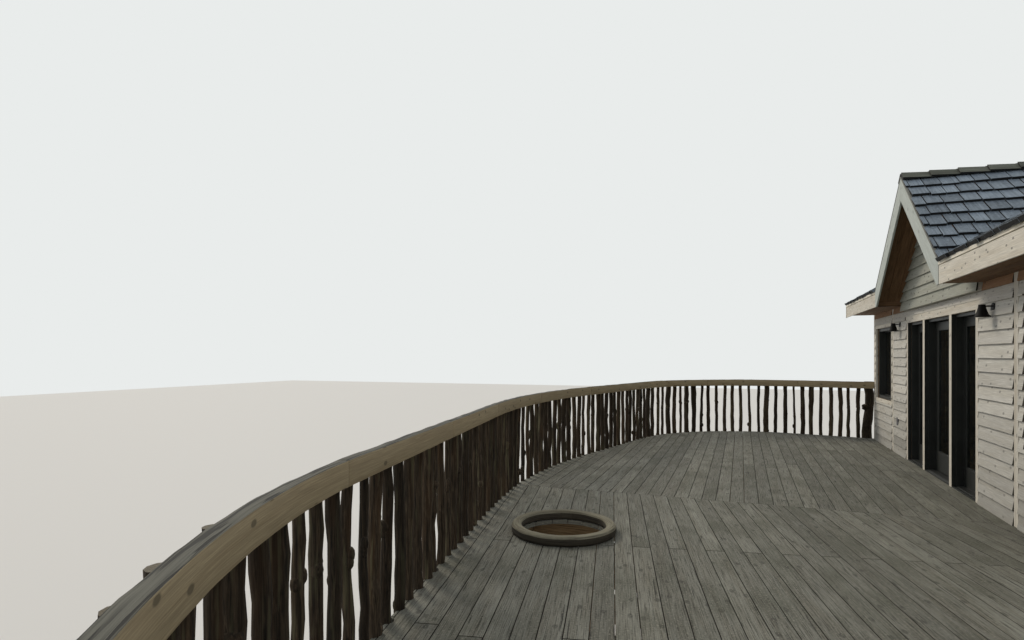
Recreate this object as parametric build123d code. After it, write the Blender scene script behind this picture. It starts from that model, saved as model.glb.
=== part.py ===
"""Timber cabin on a raised deck with a curved sapling railing.

Millimetres, +Z up. The origin is on the ground under the middle of the door, in
the plane of the front wall. +X runs along that wall and +Y into the cabin, so
the deck lies at -Y. Heights named *_Z are measured from the deck's surface.
"""

from build123d import *
import math
import os
import random

# The deck
DECK_Z = 3000
DECK_BOARD = 38
SEAM_X = 2340
TREE_X = 4065
TREE_Y = -3910
TREE_HOLE_R = 382
COLLAR_W = 91
COLLAR_H = 120
COLLAR_ROUND = 30

# The deck's edge, from the cabin's left corner round to its right wall
CABIN_HALF_W = 3915
EDGE_LEFT_GAP = 35
EDGE_LEFT_BEND = (-4750, -3600)
EDGE_FRONT_BEND = (1676, -5171)
EDGE_RIGHT_X = 10600
EDGE_RIGHT_Y = -3583
EDGE_BACK_Y = 1400
EDGE_RADII = [2400, 9000, 4600, 700]

# Timber under the deck and the cabin
JOIST_W = 50
JOIST_H = 184
JOIST_PITCH = 600
RIM_W = 45
BEAM_H = 240
BEAM_W = 140
FRONT_BEAM_W = 200
RIM_BEAM_INSET = 100
DECK_BEAM_Y = -2300
POST_D = 250
DECK_POSTS_X = (-2400, 600, 3700, 6900)
FRONT_POST_X = 7000
CABIN_POST_INSET = 215
SEAT = 0.3

# Railing
RAIL_W = 70
RAIL_H = 130
RAIL_TOP_Z = 1095
RAIL_JOINT = 2
SAPLING_PITCH = 172
SAPLING_DRIFT = 0.1
SAPLING_D = (56, 80)
SAPLING_TAPER = (0.82, 0.95)
STOUT_D = (92, 112)
STOUT_SHARE = 0.09
SAPLING_TOPS_Z = (1050, 1112)
SAPLING_DROP = (12, 30)
SAPLING_SIDES = 8
END_POST_D = 190
END_POST_TAPER = 0.94
END_POST_SHIFT = 105

# The edge's nine runs: boards in each, and the railing bays that they belong to
BOARD_COUNTS = (1, 2, 1, 2, 2, 3, 1, 1, 3)
BAY_NUMBERS = ((1,), (2, 3), (4,), (5,), (6,), (7, 8, 9), (10,), (10,), (11,))
RIM_BEAM_RUNS = 6

# Cabin walls
CABIN_DEPTH = 5200
WALL_T = 200
CLADDING = 24
TRIM_PROUD = 12
CORNER_BOARD_W = 95
BATTEN_W = 95
BATTEN_SHIFTS = (745, 765)

# Door unit
DOOR_UNIT_W = 2840
DOOR_HEAD_Z = 2100
DOOR_GAP = 6.5
LEAF_W = 1040
LEAF_T = 45
LEAF_Y = 118
POST_W = 92
SASH_STILE = 60
LEAF_STILE = 110
TOP_RAIL = 100
BOTTOM_RAIL = 250
FRAME_Y = 36
SILL_H = 20
LEAF_LIFT = 8
GLASS_T = 12
JAMB_W = 30
HEAD_H = 40

# Windows
WINDOW_W = 1210
RIGHT_WINDOW_W = 1075
WINDOW_SILL_Z = 810
FRONT_WINDOW_INSETS = (785, 697)
BACK_WINDOWS_X = (-1900, 1900)
END_WINDOW_Y = 2600
WINDOW_FRAME_W = 55
CASING_W = 60
DOOR_CASING_W = 80
DOOR_CASING_HEAD_W = 100
DOOR_CASING_EAR = 50

# Main roof
EAVE_Y = -410
EAVE_TOP_Z = 2620
FASCIA_H = 250
FASCIA_T = 25
ROOF_T = 110
ROOF_PITCH = 29.5
END_OVERHANG = 550
BARGE_W = 230
SHAKE_T = 35
CAP_W = 130
CAP_T = 22

# Front gable
GABLE_HALF_W = 1630
GABLE_RISE = 1350
RAKE_W = 235
SOFFIT_T = 18

# Fittings
LAMPS_X = (-1910, 1910)
LAMP_Z = 2080
LAMP_PLATE_D = 110
LAMP_PLATE_T = 16
LAMP_REACH = 105
LAMP_ARM_D = 16
SHADE_TOP_D = 62
SHADE_D = 162
SHADE_H = 125
SHADE_WALL = 4
OUTLET_X = -2040
OUTLET_Z = 530
OUTLET_SIZE = (80, 50, 130)
OUTLET_ROUND = 6
HANDLE_Z = 1020
HANDLE_LEVER = 115
HANDLE_D = 18
ROSE_D = 52
ROSE_T = 9
HANDLE_REACH = 48
HINGE_ZS = (250, 1050, 1850)
HINGE_H = 100
HINGE_D = 12
HINGE_PIN_D = 6
HINGE_FLAG_T = 2.5
HINGE_FLAG_W = 34
HINGE_CLEAR = 1
PIN_PLAY = 0.1

# Sizes that follow from the ones above
EDGE_CORNERS = [
    (-CABIN_HALF_W - EDGE_LEFT_GAP, 0),
    EDGE_LEFT_BEND,
    EDGE_FRONT_BEND,
    (EDGE_RIGHT_X, EDGE_RIGHT_Y),
    (EDGE_RIGHT_X, EDGE_BACK_Y),
    (CABIN_HALF_W, EDGE_BACK_Y),
]
LEFT_WINDOW_X = FRONT_WINDOW_INSETS[0] - CABIN_HALF_W
RIGHT_WINDOW_X = CABIN_HALF_W - FRONT_WINDOW_INSETS[1]
FRONT_WINDOWS = ((LEFT_WINDOW_X, WINDOW_W), (RIGHT_WINDOW_X, RIGHT_WINDOW_W))
BATTENS_X = (LEFT_WINDOW_X + BATTEN_SHIFTS[0], RIGHT_WINDOW_X - BATTEN_SHIFTS[1])
CABIN_POSTS_X = (CABIN_POST_INSET - CABIN_HALF_W, 0, CABIN_HALF_W - CABIN_POST_INSET)
FRONT_BEAM_END_X = EDGE_RIGHT_X - RIM_BEAM_INSET - BEAM_W - JOIST_W
FRONT_POSTS_X = (*CABIN_POSTS_X, FRONT_POST_X, FRONT_BEAM_END_X - POST_D / 2)
JOIST_TOP = DECK_Z - DECK_BOARD
BEAM_TOP = JOIST_TOP - JOIST_H
POST_TOP = BEAM_TOP - BEAM_H
CORE_X = CABIN_HALF_W - CLADDING
CORE_BACK = CABIN_DEPTH - CLADDING
DOOR_HALF = DOOR_UNIT_W / 2
LEAF_HALF = LEAF_W / 2
BAY_HALF = LEAF_HALF + DOOR_GAP
FRAME_BACK = LEAF_Y + LEAF_T
HINGE_X = -LEAF_HALF - DOOR_GAP / 2
HINGE_Y = FRAME_BACK + HINGE_D / 2 + HINGE_CLEAR
SLOPE = math.tan(math.radians(ROOF_PITCH))
ROOF_T_PLUMB = ROOF_T / math.cos(math.radians(ROOF_PITCH))
RIDGE_Y = CABIN_DEPTH / 2
RIDGE_Z = EAVE_TOP_Z + SLOPE * (RIDGE_Y - EAVE_Y)
BACK_EAVE_Y = CABIN_DEPTH - EAVE_Y
ROOF_HALF_W = CABIN_HALF_W + END_OVERHANG
GABLE_SLOPE = GABLE_RISE / GABLE_HALF_W
GABLE_T_PLUMB = ROOF_T * math.hypot(1, GABLE_SLOPE)
GABLE_TOP_Z = EAVE_TOP_Z + GABLE_RISE
VALLEY_Y = EAVE_Y + GABLE_RISE / SLOPE
FAR = 20000


def block(x0, x1, y0, y1, z0, z1):
    """A box between two corners, with its heights measured from the deck."""
    size = Box(x1 - x0, y1 - y0, z1 - z0)
    return Pos((x0 + x1) / 2, (y0 + y1) / 2, DECK_Z + (z0 + z1) / 2) * size


def prism_along_y(outline, y0, y1):
    """Extrude an outline of (x, z) points along Y."""
    points = [(x, y0, DECK_Z + z) for x, z in outline]
    return extrude(make_face(Polyline(*points, close=True)), amount=y1 - y0, dir=(0, 1, 0))


def prism_along_x(outline, x0, x1):
    """Extrude an outline of (y, z) points along X."""
    points = [(x0, y, DECK_Z + z) for y, z in outline]
    return extrude(make_face(Polyline(*points, close=True)), amount=x1 - x0, dir=(1, 0, 0))


def mirrored_x(shape):
    """The same shape on the other side of the door's middle."""
    return mirror(shape, about=Plane.YZ)


def solids_of(*shapes):
    """Gather loose shapes into one compound of separate solids."""
    return Compound(children=[solid for shape in shapes for solid in shape.solids()])


# The deck's edge

def meet(first, second):
    """The point where two (point, direction) lines cross."""
    (p, d), (q, e) = first, second
    along = ((q.X - p.X) * e.Y - (q.Y - p.Y) * e.X) / (d.X * e.Y - d.Y * e.X)
    return p + d * along


def edge_path(inset=0):
    """The deck's edge moved inwards, as straight runs joined by tangent arcs."""
    lines = []
    for start, end in zip(EDGE_CORNERS, EDGE_CORNERS[1:]):
        direction = (Vector(*end) - Vector(*start)).normalized()
        inward = Vector(-direction.Y, direction.X)
        lines.append((Vector(*start) + inward * inset, direction))
    front_wall = (Vector(0, 0), Vector(1, 0))
    right_wall = (Vector(CABIN_HALF_W, 0), Vector(0, 1))
    lines = [front_wall, *lines, right_wall]
    corners = [meet(first, second) for first, second in zip(lines, lines[1:])]
    return FilletPolyline(*corners, radius=[r - inset for r in EDGE_RADII])


EDGE = edge_path()
EDGE_PARTS = EDGE.edges()


def edge_region(inset, bottom, top):
    """All that lies inside the deck's edge, between two heights above the ground."""
    path = edge_path(inset)
    corner = (CABIN_HALF_W, 0)
    closing = Polyline(path @ 1, corner, path @ 0)
    return Pos(0, 0, bottom) * extrude(make_face([*path.edges(), *closing.edges()]), amount=top - bottom)


def edge_point(part, t, inset=0):
    """A point beside one run of the edge, at the share t of its length."""
    tangent = part % t
    return (part @ t) + Vector(-tangent.Y, tangent.X) * inset


def edge_band(part, t0, t1, inset, width, bottom, top):
    """A board bent along one run of the edge."""
    sides = []
    for depth in (inset, inset + width):
        ends = [edge_point(part, t, depth) for t in (t0, (t0 + t1) / 2, t1)]
        straight = part.geom_type == GeomType.LINE
        sides.append(Line(ends[0], ends[2]) if straight else ThreePointArc(*ends))
    outer, inner = sides
    caps = [Line(outer @ 0, inner @ 0), Line(outer @ 1, inner @ 1)]
    return Pos(0, 0, bottom) * extrude(make_face([outer, inner, *caps]), amount=top - bottom)


def split_run(part, count, joint):
    """Shares of a run's length for a number of boards with a joint between them."""
    gap = joint / part.length / 2
    return [(i / count + gap, (i + 1) / count - gap) for i in range(count)]


def edge_boards(run_boards, inset, width, bottom, top):
    """Boards along the first runs of the edge, one solid each."""
    boards = []
    for part, count in zip(EDGE_PARTS, run_boards):
        for t0, t1 in split_run(part, count, RAIL_JOINT):
            boards.append(edge_band(part, t0, t1, inset, width, bottom, top))
    return boards


# Deck

def deck_slab():
    """The whole deck surface with the hole for the trunk."""
    slab = edge_region(0, JOIST_TOP, DECK_Z)
    return slab - Pos(TREE_X, TREE_Y, DECK_Z) * Cylinder(TREE_HOLE_R, DECK_BOARD * 3)


def deck_far():
    return deck_slab() & block(-FAR, SEAM_X, -FAR, FAR, -DECK_BOARD, 0)


def deck_near():
    return deck_slab() & block(SEAM_X, FAR, -FAR, FAR, -DECK_BOARD, 0)


def tree_collar():
    """A round curb with a softened top, standing on the deck."""
    outer = TREE_HOLE_R + COLLAR_W
    profile = Plane.XZ * Pos(TREE_HOLE_R + COLLAR_W / 2, COLLAR_H / 2) * Rectangle(COLLAR_W, COLLAR_H)
    top_corners = profile.vertices().group_by(Axis.Z)[-1]
    profile = fillet(top_corners, COLLAR_ROUND)
    return Pos(TREE_X, TREE_Y, DECK_Z) * revolve(profile, Axis.Z)


def deck_joists():
    """Joists across the deck, those at the trunk stopped at the headers."""
    inside = edge_region(RIM_W + SEAT, BEAM_TOP, JOIST_TOP)
    trimmed = TREE_HOLE_R + COLLAR_W + JOIST_W
    gap = block(TREE_X - JOIST_W, TREE_X + JOIST_W, TREE_Y - trimmed, TREE_Y + trimmed, -FAR, 0)
    first = math.ceil((EDGE_CORNERS[0][0] + 2 * JOIST_W - TREE_X) / JOIST_PITCH)
    last = math.floor((EDGE_RIGHT_X - 2 * JOIST_W - TREE_X) / JOIST_PITCH)
    joists = []
    for place in range(first, last + 1):
        x = TREE_X + place * JOIST_PITCH
        joist = block(x - JOIST_W / 2, x + JOIST_W / 2, -FAR, FAR, BEAM_TOP - DECK_Z, -DECK_BOARD)
        joists.append((joist & inside) - gap)
    return solids_of(*joists)


def tree_hole_headers():
    """Two short joists that close the hole for the trunk."""
    reach = TREE_HOLE_R + COLLAR_W
    span = JOIST_PITCH - JOIST_W / 2
    headers = []
    for side in (-1, 1):
        y = TREE_Y + side * (reach + JOIST_W / 2)
        headers.append(block(TREE_X - span, TREE_X + span, y - JOIST_W / 2, y + JOIST_W / 2,
                             BEAM_TOP - DECK_Z, -DECK_BOARD))
    return solids_of(*headers)


def rim_joist():
    return solids_of(*edge_boards(BOARD_COUNTS, 0, RIM_W, BEAM_TOP, JOIST_TOP))


def rim_beam():
    """A bent beam under the joists' outer ends, up to the deck's right end."""
    beams = edge_boards(BOARD_COUNTS[:RIM_BEAM_RUNS], RIM_BEAM_INSET, BEAM_W, POST_TOP, BEAM_TOP)
    beside = block(-FAR, 0, -FRONT_BEAM_W / 2 - SEAT, FAR, -FAR, FAR)
    return solids_of(*[beam - beside for beam in beams])


def beam_along_x(x0, x1, y, width):
    return block(x0, x1, y - width / 2, y + width / 2, POST_TOP - DECK_Z, BEAM_TOP - DECK_Z)


def deck_beam():
    inside = edge_region(RIM_BEAM_INSET + BEAM_W + SEAT, POST_TOP, BEAM_TOP)
    return beam_along_x(-FAR, FAR, DECK_BEAM_Y, BEAM_W) & inside


def cabin_beams():
    """Beams under the cabin's walls and middle, the front one on under the deck."""
    front = beam_along_x(-CORE_X, FRONT_BEAM_END_X, 0, FRONT_BEAM_W)
    middle = beam_along_x(-CORE_X, CORE_X, RIDGE_Y, BEAM_W)
    back = beam_along_x(-CORE_X, CORE_X, CABIN_DEPTH - WALL_T, BEAM_W)
    return solids_of(front, middle, back)


def log_posts():
    """Posts under the bent beam's joints and in rows under the straight beams."""
    places = [(x, DECK_BEAM_Y) for x in DECK_POSTS_X] + [(x, 0) for x in FRONT_POSTS_X]
    for y in (RIDGE_Y, CABIN_DEPTH - WALL_T):
        places += [(x, y) for x in CABIN_POSTS_X]
    middle = RIM_BEAM_INSET + BEAM_W / 2
    for part, count in zip(EDGE_PARTS, BOARD_COUNTS[:RIM_BEAM_RUNS]):
        for step in range(1, count + 1):
            point = edge_point(part, step / count, middle)
            places.append((point.X, point.Y))
    post = Cylinder(POST_D / 2, POST_TOP)
    return solids_of(*[Pos(x, y, POST_TOP / 2) * post for x, y in places])


# Railing

def handrail():
    """Boards on edge, bent along the deck and butted end to end."""
    bottom = DECK_Z + RAIL_TOP_Z - RAIL_H
    corner_board = block(-FAR, 0, -TRIM_PROUD, FAR, -FAR, FAR)
    boards = edge_boards(BOARD_COUNTS, 0, RAIL_W, bottom, DECK_Z + RAIL_TOP_Z)
    return solids_of(*[board - corner_board for board in boards[:1]], *boards[1:])


def sapling(part, t, foot_d, top_d, bottom, top):
    """A tapered pole with one flat side against the rim and the rail."""
    half_side = math.pi / SAPLING_SIDES
    tangent = part % t
    turn = math.degrees(math.atan2(tangent.Y, tangent.X)) + 180 / SAPLING_SIDES
    ends = []
    for diameter, z in ((foot_d, bottom), (top_d, top)):
        apothem = diameter / 2 * math.cos(half_side)
        centre = edge_point(part, t, -apothem)
        ends.append(Pos(centre.X, centre.Y, z) * Rot(0, 0, turn)
                    * RegularPolygon(diameter / 2, SAPLING_SIDES))
    return loft(ends, ruled=True)


def balusters_of(part, t0, t1, chance):
    """Saplings along a stretch of the edge, of mixed thickness and height."""
    count = round(part.length * (t1 - t0) / SAPLING_PITCH)
    step = (t1 - t0) / count
    poles = []
    for place in range(count):
        stout = chance.random() < STOUT_SHARE
        foot_d = chance.uniform(*(STOUT_D if stout else SAPLING_D))
        top_d = foot_d * chance.uniform(*SAPLING_TAPER)
        t = t0 + step * (place + 0.5 + chance.uniform(-SAPLING_DRIFT, SAPLING_DRIFT))
        top = DECK_Z + chance.uniform(*SAPLING_TOPS_Z)
        bottom = BEAM_TOP - chance.uniform(*SAPLING_DROP)
        poles.append(sapling(part, t, foot_d, top_d, bottom, top))
    return poles


def baluster_bays():
    """The saplings of each bay, by the name of the bay."""
    chance = random.Random(11)
    first, last = EDGE_PARTS[0], EDGE_PARTS[-1]
    bays = {}
    for part, numbers in zip(EDGE_PARTS, BAY_NUMBERS):
        start = END_POST_D / part.length if part is first else 0
        stop = 1 - (END_POST_D / part.length if part is last else 0)
        share = (stop - start) / len(numbers)
        for step, number in enumerate(numbers):
            t0 = start + step * share
            poles = balusters_of(part, t0, t0 + share, chance)
            bays.setdefault(f"balusters_{number}", []).extend(poles)
    return {name: solids_of(*poles) for name, poles in bays.items()}


def end_posts():
    """Stout logs where the railing meets the cabin."""
    first, last = EDGE_PARTS[0], EDGE_PARTS[-1]
    bottom = BEAM_TOP - max(SAPLING_DROP)
    posts = []
    for part, t in ((first, END_POST_SHIFT / first.length), (last, 1 - END_POST_SHIFT / last.length)):
        posts.append(sapling(part, t, END_POST_D, END_POST_D * END_POST_TAPER, bottom,
                             DECK_Z + RAIL_TOP_Z))
    return solids_of(*posts)


# Cabin floor

def cabin_joists():
    count = round(2 * CABIN_HALF_W / JOIST_PITCH)
    step = (2 * CABIN_HALF_W - JOIST_W) / count
    joists = []
    for place in range(count + 1):
        x = -CABIN_HALF_W + place * step
        joists.append(block(x, x + JOIST_W, RIM_W, CABIN_DEPTH - RIM_W,
                            BEAM_TOP - DECK_Z, -DECK_BOARD))
    return solids_of(*joists)


def cabin_rim_boards():
    front = block(-CABIN_HALF_W, CABIN_HALF_W, 0, RIM_W, BEAM_TOP - DECK_Z, -DECK_BOARD)
    back = Pos(0, CABIN_DEPTH - RIM_W, 0) * front
    return solids_of(front, back)


def cabin_floor():
    return block(-CABIN_HALF_W, CABIN_HALF_W, 0, CABIN_DEPTH, -DECK_BOARD, 0)


# Roof planes

def main_above(drop):
    """Everything above the main roof's top, lowered by a plumb distance."""
    low = RIDGE_Z - drop - SLOPE * FAR
    front, back = RIDGE_Y - FAR, RIDGE_Y + FAR
    outline = [(front, low), (RIDGE_Y, RIDGE_Z - drop), (back, low), (back, FAR), (front, FAR)]
    return prism_along_x(outline, -FAR, FAR)


def gable_above(drop, y0, y1):
    """Everything above the front gable's top, lowered by a plumb distance."""
    foot = EAVE_TOP_Z - drop
    outline = [(-GABLE_HALF_W, foot), (0, GABLE_TOP_Z - drop), (GABLE_HALF_W, foot),
               (GABLE_HALF_W, FAR), (-GABLE_HALF_W, FAR)]
    return prism_along_y(outline, y0, y1)


# Walls

def window_hole(x, width, y0, y1):
    half = width / 2
    return block(x - half, x + half, y0, y1, WINDOW_SILL_Z, DOOR_HEAD_Z)


def window_hole_end(x0, x1):
    half = WINDOW_W / 2
    return block(x0, x1, END_WINDOW_Y - half, END_WINDOW_Y + half, WINDOW_SILL_Z, DOOR_HEAD_Z)


def front_wall():
    """The whole front wall with its top cut to the roofs above it."""
    wall = block(-CORE_X, CORE_X, CLADDING, WALL_T, 0, GABLE_TOP_Z)
    under_gable = block(-GABLE_HALF_W, GABLE_HALF_W, -FAR, FAR, -FAR, FAR)
    wall -= main_above(ROOF_T_PLUMB) - under_gable
    wall -= gable_above(GABLE_T_PLUMB, -FAR, FAR)
    wall -= block(-DOOR_HALF, DOOR_HALF, -FAR, FAR, 0, DOOR_HEAD_Z)
    for x, width in FRONT_WINDOWS:
        wall -= window_hole(x, width, 0, WALL_T)
    return wall


def front_wall_left():
    return front_wall() & block(-FAR, -DOOR_HALF, -FAR, FAR, 0, FAR)


def front_wall_right():
    return front_wall() & block(DOOR_HALF, FAR, -FAR, FAR, 0, FAR)


def front_gable_wall():
    return front_wall() & block(-DOOR_HALF, DOOR_HALF, -FAR, FAR, DOOR_HEAD_Z, FAR)


def back_wall():
    wall = block(-CORE_X, CORE_X, CABIN_DEPTH - WALL_T, CORE_BACK, 0, RIDGE_Z) - main_above(ROOF_T_PLUMB)
    for x in BACK_WINDOWS_X:
        wall -= window_hole(x, WINDOW_W, CABIN_DEPTH - WALL_T, CABIN_DEPTH)
    return wall


def left_wall():
    wall = block(-CORE_X, -CABIN_HALF_W + WALL_T, WALL_T, CABIN_DEPTH - WALL_T, 0, RIDGE_Z)
    return wall - main_above(ROOF_T_PLUMB) - window_hole_end(-FAR, 0)


def right_wall():
    return mirrored_x(left_wall())


def corner_boards():
    """L-shaped boards over the four corners of the walls."""
    proud = CABIN_HALF_W + TRIM_PROUD
    inner = CORE_X - CORNER_BOARD_W + CLADDING
    boards = []
    for y0, y1, side in ((-TRIM_PROUD, CLADDING, 1), (CORE_BACK, CABIN_DEPTH + TRIM_PROUD, -1)):
        face = block(inner, proud, y0, y1, 0, RIDGE_Z)
        end_y = (y1, y1 + CORNER_BOARD_W) if side == 1 else (y0 - CORNER_BOARD_W, y0)
        edge = block(CORE_X, proud, *end_y, 0, RIDGE_Z)
        board = (face + edge) - main_above(ROOF_T_PLUMB)
        boards += [board, mirrored_x(board)]
    return solids_of(*boards)


def wall_battens():
    boards = []
    for x in BATTENS_X:
        board = block(x - BATTEN_W / 2, x + BATTEN_W / 2, -TRIM_PROUD, CLADDING, 0, RIDGE_Z)
        boards.append(board - main_above(ROOF_T_PLUMB))
    return solids_of(*boards)


# Main roof

def main_slope():
    """The front slope as one slab, plumb-cut behind the fascia."""
    eave = EAVE_Y + FASCIA_T
    rise = SLOPE * FASCIA_T
    outline = [(eave, EAVE_TOP_Z + rise), (RIDGE_Y, RIDGE_Z), (RIDGE_Y, RIDGE_Z - ROOF_T_PLUMB),
               (eave, EAVE_TOP_Z + rise - ROOF_T_PLUMB)]
    half = ROOF_HALF_W - FASCIA_T
    return prism_along_x(outline, -half, half)


def main_roof_front():
    """The front slope, cut away under the gable down to the valleys."""
    under_gable = prism_along_y([(-GABLE_HALF_W, EAVE_TOP_Z), (0, GABLE_TOP_Z),
                                 (GABLE_HALF_W, EAVE_TOP_Z), (GABLE_HALF_W, -DECK_Z),
                                 (-GABLE_HALF_W, -DECK_Z)], -FAR, WALL_T)
    return main_slope() - under_gable


def main_roof_back():
    return mirror(main_slope(), about=Plane.XZ.offset(-RIDGE_Y))


def fascias():
    """Boards across the rafter ends: two beside the gable and one at the back."""
    bottom = EAVE_TOP_Z - FASCIA_H
    end = ROOF_HALF_W - FASCIA_T
    left = block(-end, -GABLE_HALF_W, EAVE_Y, EAVE_Y + FASCIA_T, bottom, EAVE_TOP_Z)
    back = block(-end, end, BACK_EAVE_Y - FASCIA_T, BACK_EAVE_Y, bottom, EAVE_TOP_Z)
    return solids_of(left, mirrored_x(left), back)


def barge_board(y_eave):
    """One sloping board at the left end of the main roof."""
    depth = BARGE_W / math.cos(math.radians(ROOF_PITCH))
    side = -1 if y_eave < RIDGE_Y else 1
    joint = RIDGE_Y + side * RAIL_JOINT / 2
    ridge = RIDGE_Z - SLOPE * RAIL_JOINT / 2
    outline = [(y_eave, EAVE_TOP_Z), (joint, ridge), (joint, ridge - depth),
               (y_eave, EAVE_TOP_Z - depth)]
    return prism_along_x(outline, -ROOF_HALF_W, -ROOF_HALF_W + FASCIA_T)


def barge_boards():
    left = [barge_board(EAVE_Y), barge_board(BACK_EAVE_Y)]
    return solids_of(*left, *[mirrored_x(board) for board in left])


def ridge_cap_outline(half_w, slope, top_z):
    """An inverted V that sits on both slopes, as (across, z) points."""
    seat = SHAKE_T * math.hypot(1, slope)
    crown = seat + CAP_T * math.hypot(1, slope)
    return [(0, top_z), (half_w, top_z - slope * half_w),
            (half_w, top_z - slope * half_w + crown), (0, top_z + crown),
            (-half_w, top_z - slope * half_w + crown), (-half_w, top_z - slope * half_w)]


def main_ridge_cap():
    outline = [(RIDGE_Y + across, z) for across, z in ridge_cap_outline(CAP_W, SLOPE, RIDGE_Z)]
    return prism_along_x(outline, -ROOF_HALF_W, ROOF_HALF_W)


# Front gable

def gable_slope_left():
    """The left slope of the gable, from the rake boards back to the valley."""
    front = EAVE_Y + FASCIA_T
    outline = [(-GABLE_HALF_W, EAVE_TOP_Z), (0, GABLE_TOP_Z), (0, GABLE_TOP_Z - GABLE_T_PLUMB),
               (-GABLE_HALF_W, EAVE_TOP_Z - GABLE_T_PLUMB)]
    overhang = prism_along_y(outline, front, WALL_T)
    over_main = prism_along_y(outline, WALL_T, VALLEY_Y) & main_above(0)
    return overhang + over_main


def gable_roof_right():
    return mirrored_x(gable_slope_left())


def gable_rake_boards():
    """Two boards up the gable's edge, plumb-cut against each other."""
    depth = RAKE_W * math.hypot(1, GABLE_SLOPE)
    joint = RAIL_JOINT / 2
    apex = GABLE_TOP_Z - GABLE_SLOPE * joint
    level = EAVE_TOP_Z - FASCIA_H
    inner_foot = -GABLE_HALF_W + (level - (EAVE_TOP_Z - depth)) / GABLE_SLOPE
    outline = [(-GABLE_HALF_W, EAVE_TOP_Z), (-joint, apex), (-joint, apex - depth),
               (inner_foot, level), (-GABLE_HALF_W, level)]
    left = prism_along_y(outline, EAVE_Y, EAVE_Y + FASCIA_T)
    return solids_of(left, mirrored_x(left))


def gable_soffit():
    """Boards under the gable's overhang, following both slopes."""
    drop = GABLE_T_PLUMB
    under = SOFFIT_T * math.hypot(1, GABLE_SLOPE)
    foot = EAVE_TOP_Z - drop
    outline = [(-GABLE_HALF_W, foot), (0, GABLE_TOP_Z - drop), (GABLE_HALF_W, foot),
               (GABLE_HALF_W, foot - under), (0, GABLE_TOP_Z - drop - under),
               (-GABLE_HALF_W, foot - under)]
    return prism_along_y(outline, EAVE_Y + FASCIA_T, CLADDING)


def gable_ridge_cap():
    outline = ridge_cap_outline(CAP_W, GABLE_SLOPE, GABLE_TOP_Z)
    cap = prism_along_y(outline, EAVE_Y, VALLEY_Y + CAP_W)
    return cap & main_above(0)


# Door unit

def door_frame():
    """Outer frame, two posts and the fixed sashes of the sidelights."""
    frame = block(-DOOR_HALF, DOOR_HALF, FRAME_Y, FRAME_BACK, 0, DOOR_HEAD_Z)
    clear_top = DOOR_HEAD_Z - HEAD_H
    frame -= block(-BAY_HALF, BAY_HALF, -FAR, FAR, 0, clear_top)
    bay_outer = DOOR_HALF - JAMB_W
    bay_inner = BAY_HALF + POST_W
    reveal = block(bay_inner, bay_outer, -FAR, LEAF_Y, SILL_H, clear_top)
    cuts = reveal + sidelight_pane(-FAR, FAR)
    return frame - cuts - mirrored_x(cuts)


def sidelight_pane(y0, y1):
    """The glazed area of the right sidelight between two depths."""
    return block(BAY_HALF + POST_W + SASH_STILE, DOOR_HALF - JAMB_W - SASH_STILE, y0, y1,
                 BOTTOM_RAIL, DOOR_HEAD_Z - HEAD_H - TOP_RAIL)


def sidelight_glass():
    middle = LEAF_Y + LEAF_T / 2
    pane = sidelight_pane(middle - GLASS_T / 2, middle + GLASS_T / 2)
    return solids_of(pane, mirrored_x(pane))


def threshold():
    """A sill under the door leaf with a sloped front edge."""
    front = CLADDING - TRIM_PROUD
    outline = [(front, 0), (FRAME_BACK, 0), (FRAME_BACK, SILL_H), (FRAME_Y, SILL_H),
               (front, SILL_H / 2)]
    return prism_along_x(outline, -BAY_HALF, BAY_HALF)


LEAF_BOTTOM = SILL_H + LEAF_LIFT
LEAF_TOP = DOOR_HEAD_Z - HEAD_H - DOOR_GAP


def leaf_pane(y0, y1):
    half = LEAF_HALF - LEAF_STILE
    return block(-half, half, y0, y1, LEAF_BOTTOM + BOTTOM_RAIL, LEAF_TOP - TOP_RAIL)


def door_leaf():
    leaf = block(-LEAF_HALF, LEAF_HALF, LEAF_Y, LEAF_Y + LEAF_T, LEAF_BOTTOM, LEAF_TOP)
    return leaf - leaf_pane(-FAR, FAR)


def door_glass():
    middle = LEAF_Y + LEAF_T / 2
    return leaf_pane(middle - GLASS_T / 2, middle + GLASS_T / 2)


def hinge_barrel(diameter, z0, z1):
    return Pos(HINGE_X, HINGE_Y, DECK_Z + (z0 + z1) / 2) * Cylinder(diameter / 2, z1 - z0)


def hinge_pins():
    """Lower knuckles with their pins, screwed to the left post through thin flags."""
    edge = -BAY_HALF
    hinges = []
    for z in HINGE_ZS:
        flag = block(edge, edge + HINGE_FLAG_T, HINGE_Y - HINGE_FLAG_W, HINGE_Y, z, z + HINGE_H / 2)
        knuckle = hinge_barrel(HINGE_D, z, z + HINGE_H / 2)
        pin = hinge_barrel(HINGE_PIN_D, z, z + HINGE_H)
        hinges.append(flag + knuckle + pin)
    return solids_of(*hinges)


def hinge_knuckles():
    """Upper knuckles that turn on the pins, screwed to the leaf's edge."""
    edge = -LEAF_HALF
    hinges = []
    for z in HINGE_ZS:
        z0, z1 = z + HINGE_H / 2 + SEAT, z + HINGE_H
        flag = block(edge - HINGE_FLAG_T, edge, HINGE_Y - HINGE_FLAG_W, HINGE_Y, z0, z1)
        bore = hinge_barrel(HINGE_PIN_D + 2 * PIN_PLAY, z0 - HINGE_H, z1 + HINGE_H)
        hinges.append(flag + hinge_barrel(HINGE_D, z0, z1) - bore)
    return solids_of(*hinges)


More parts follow.
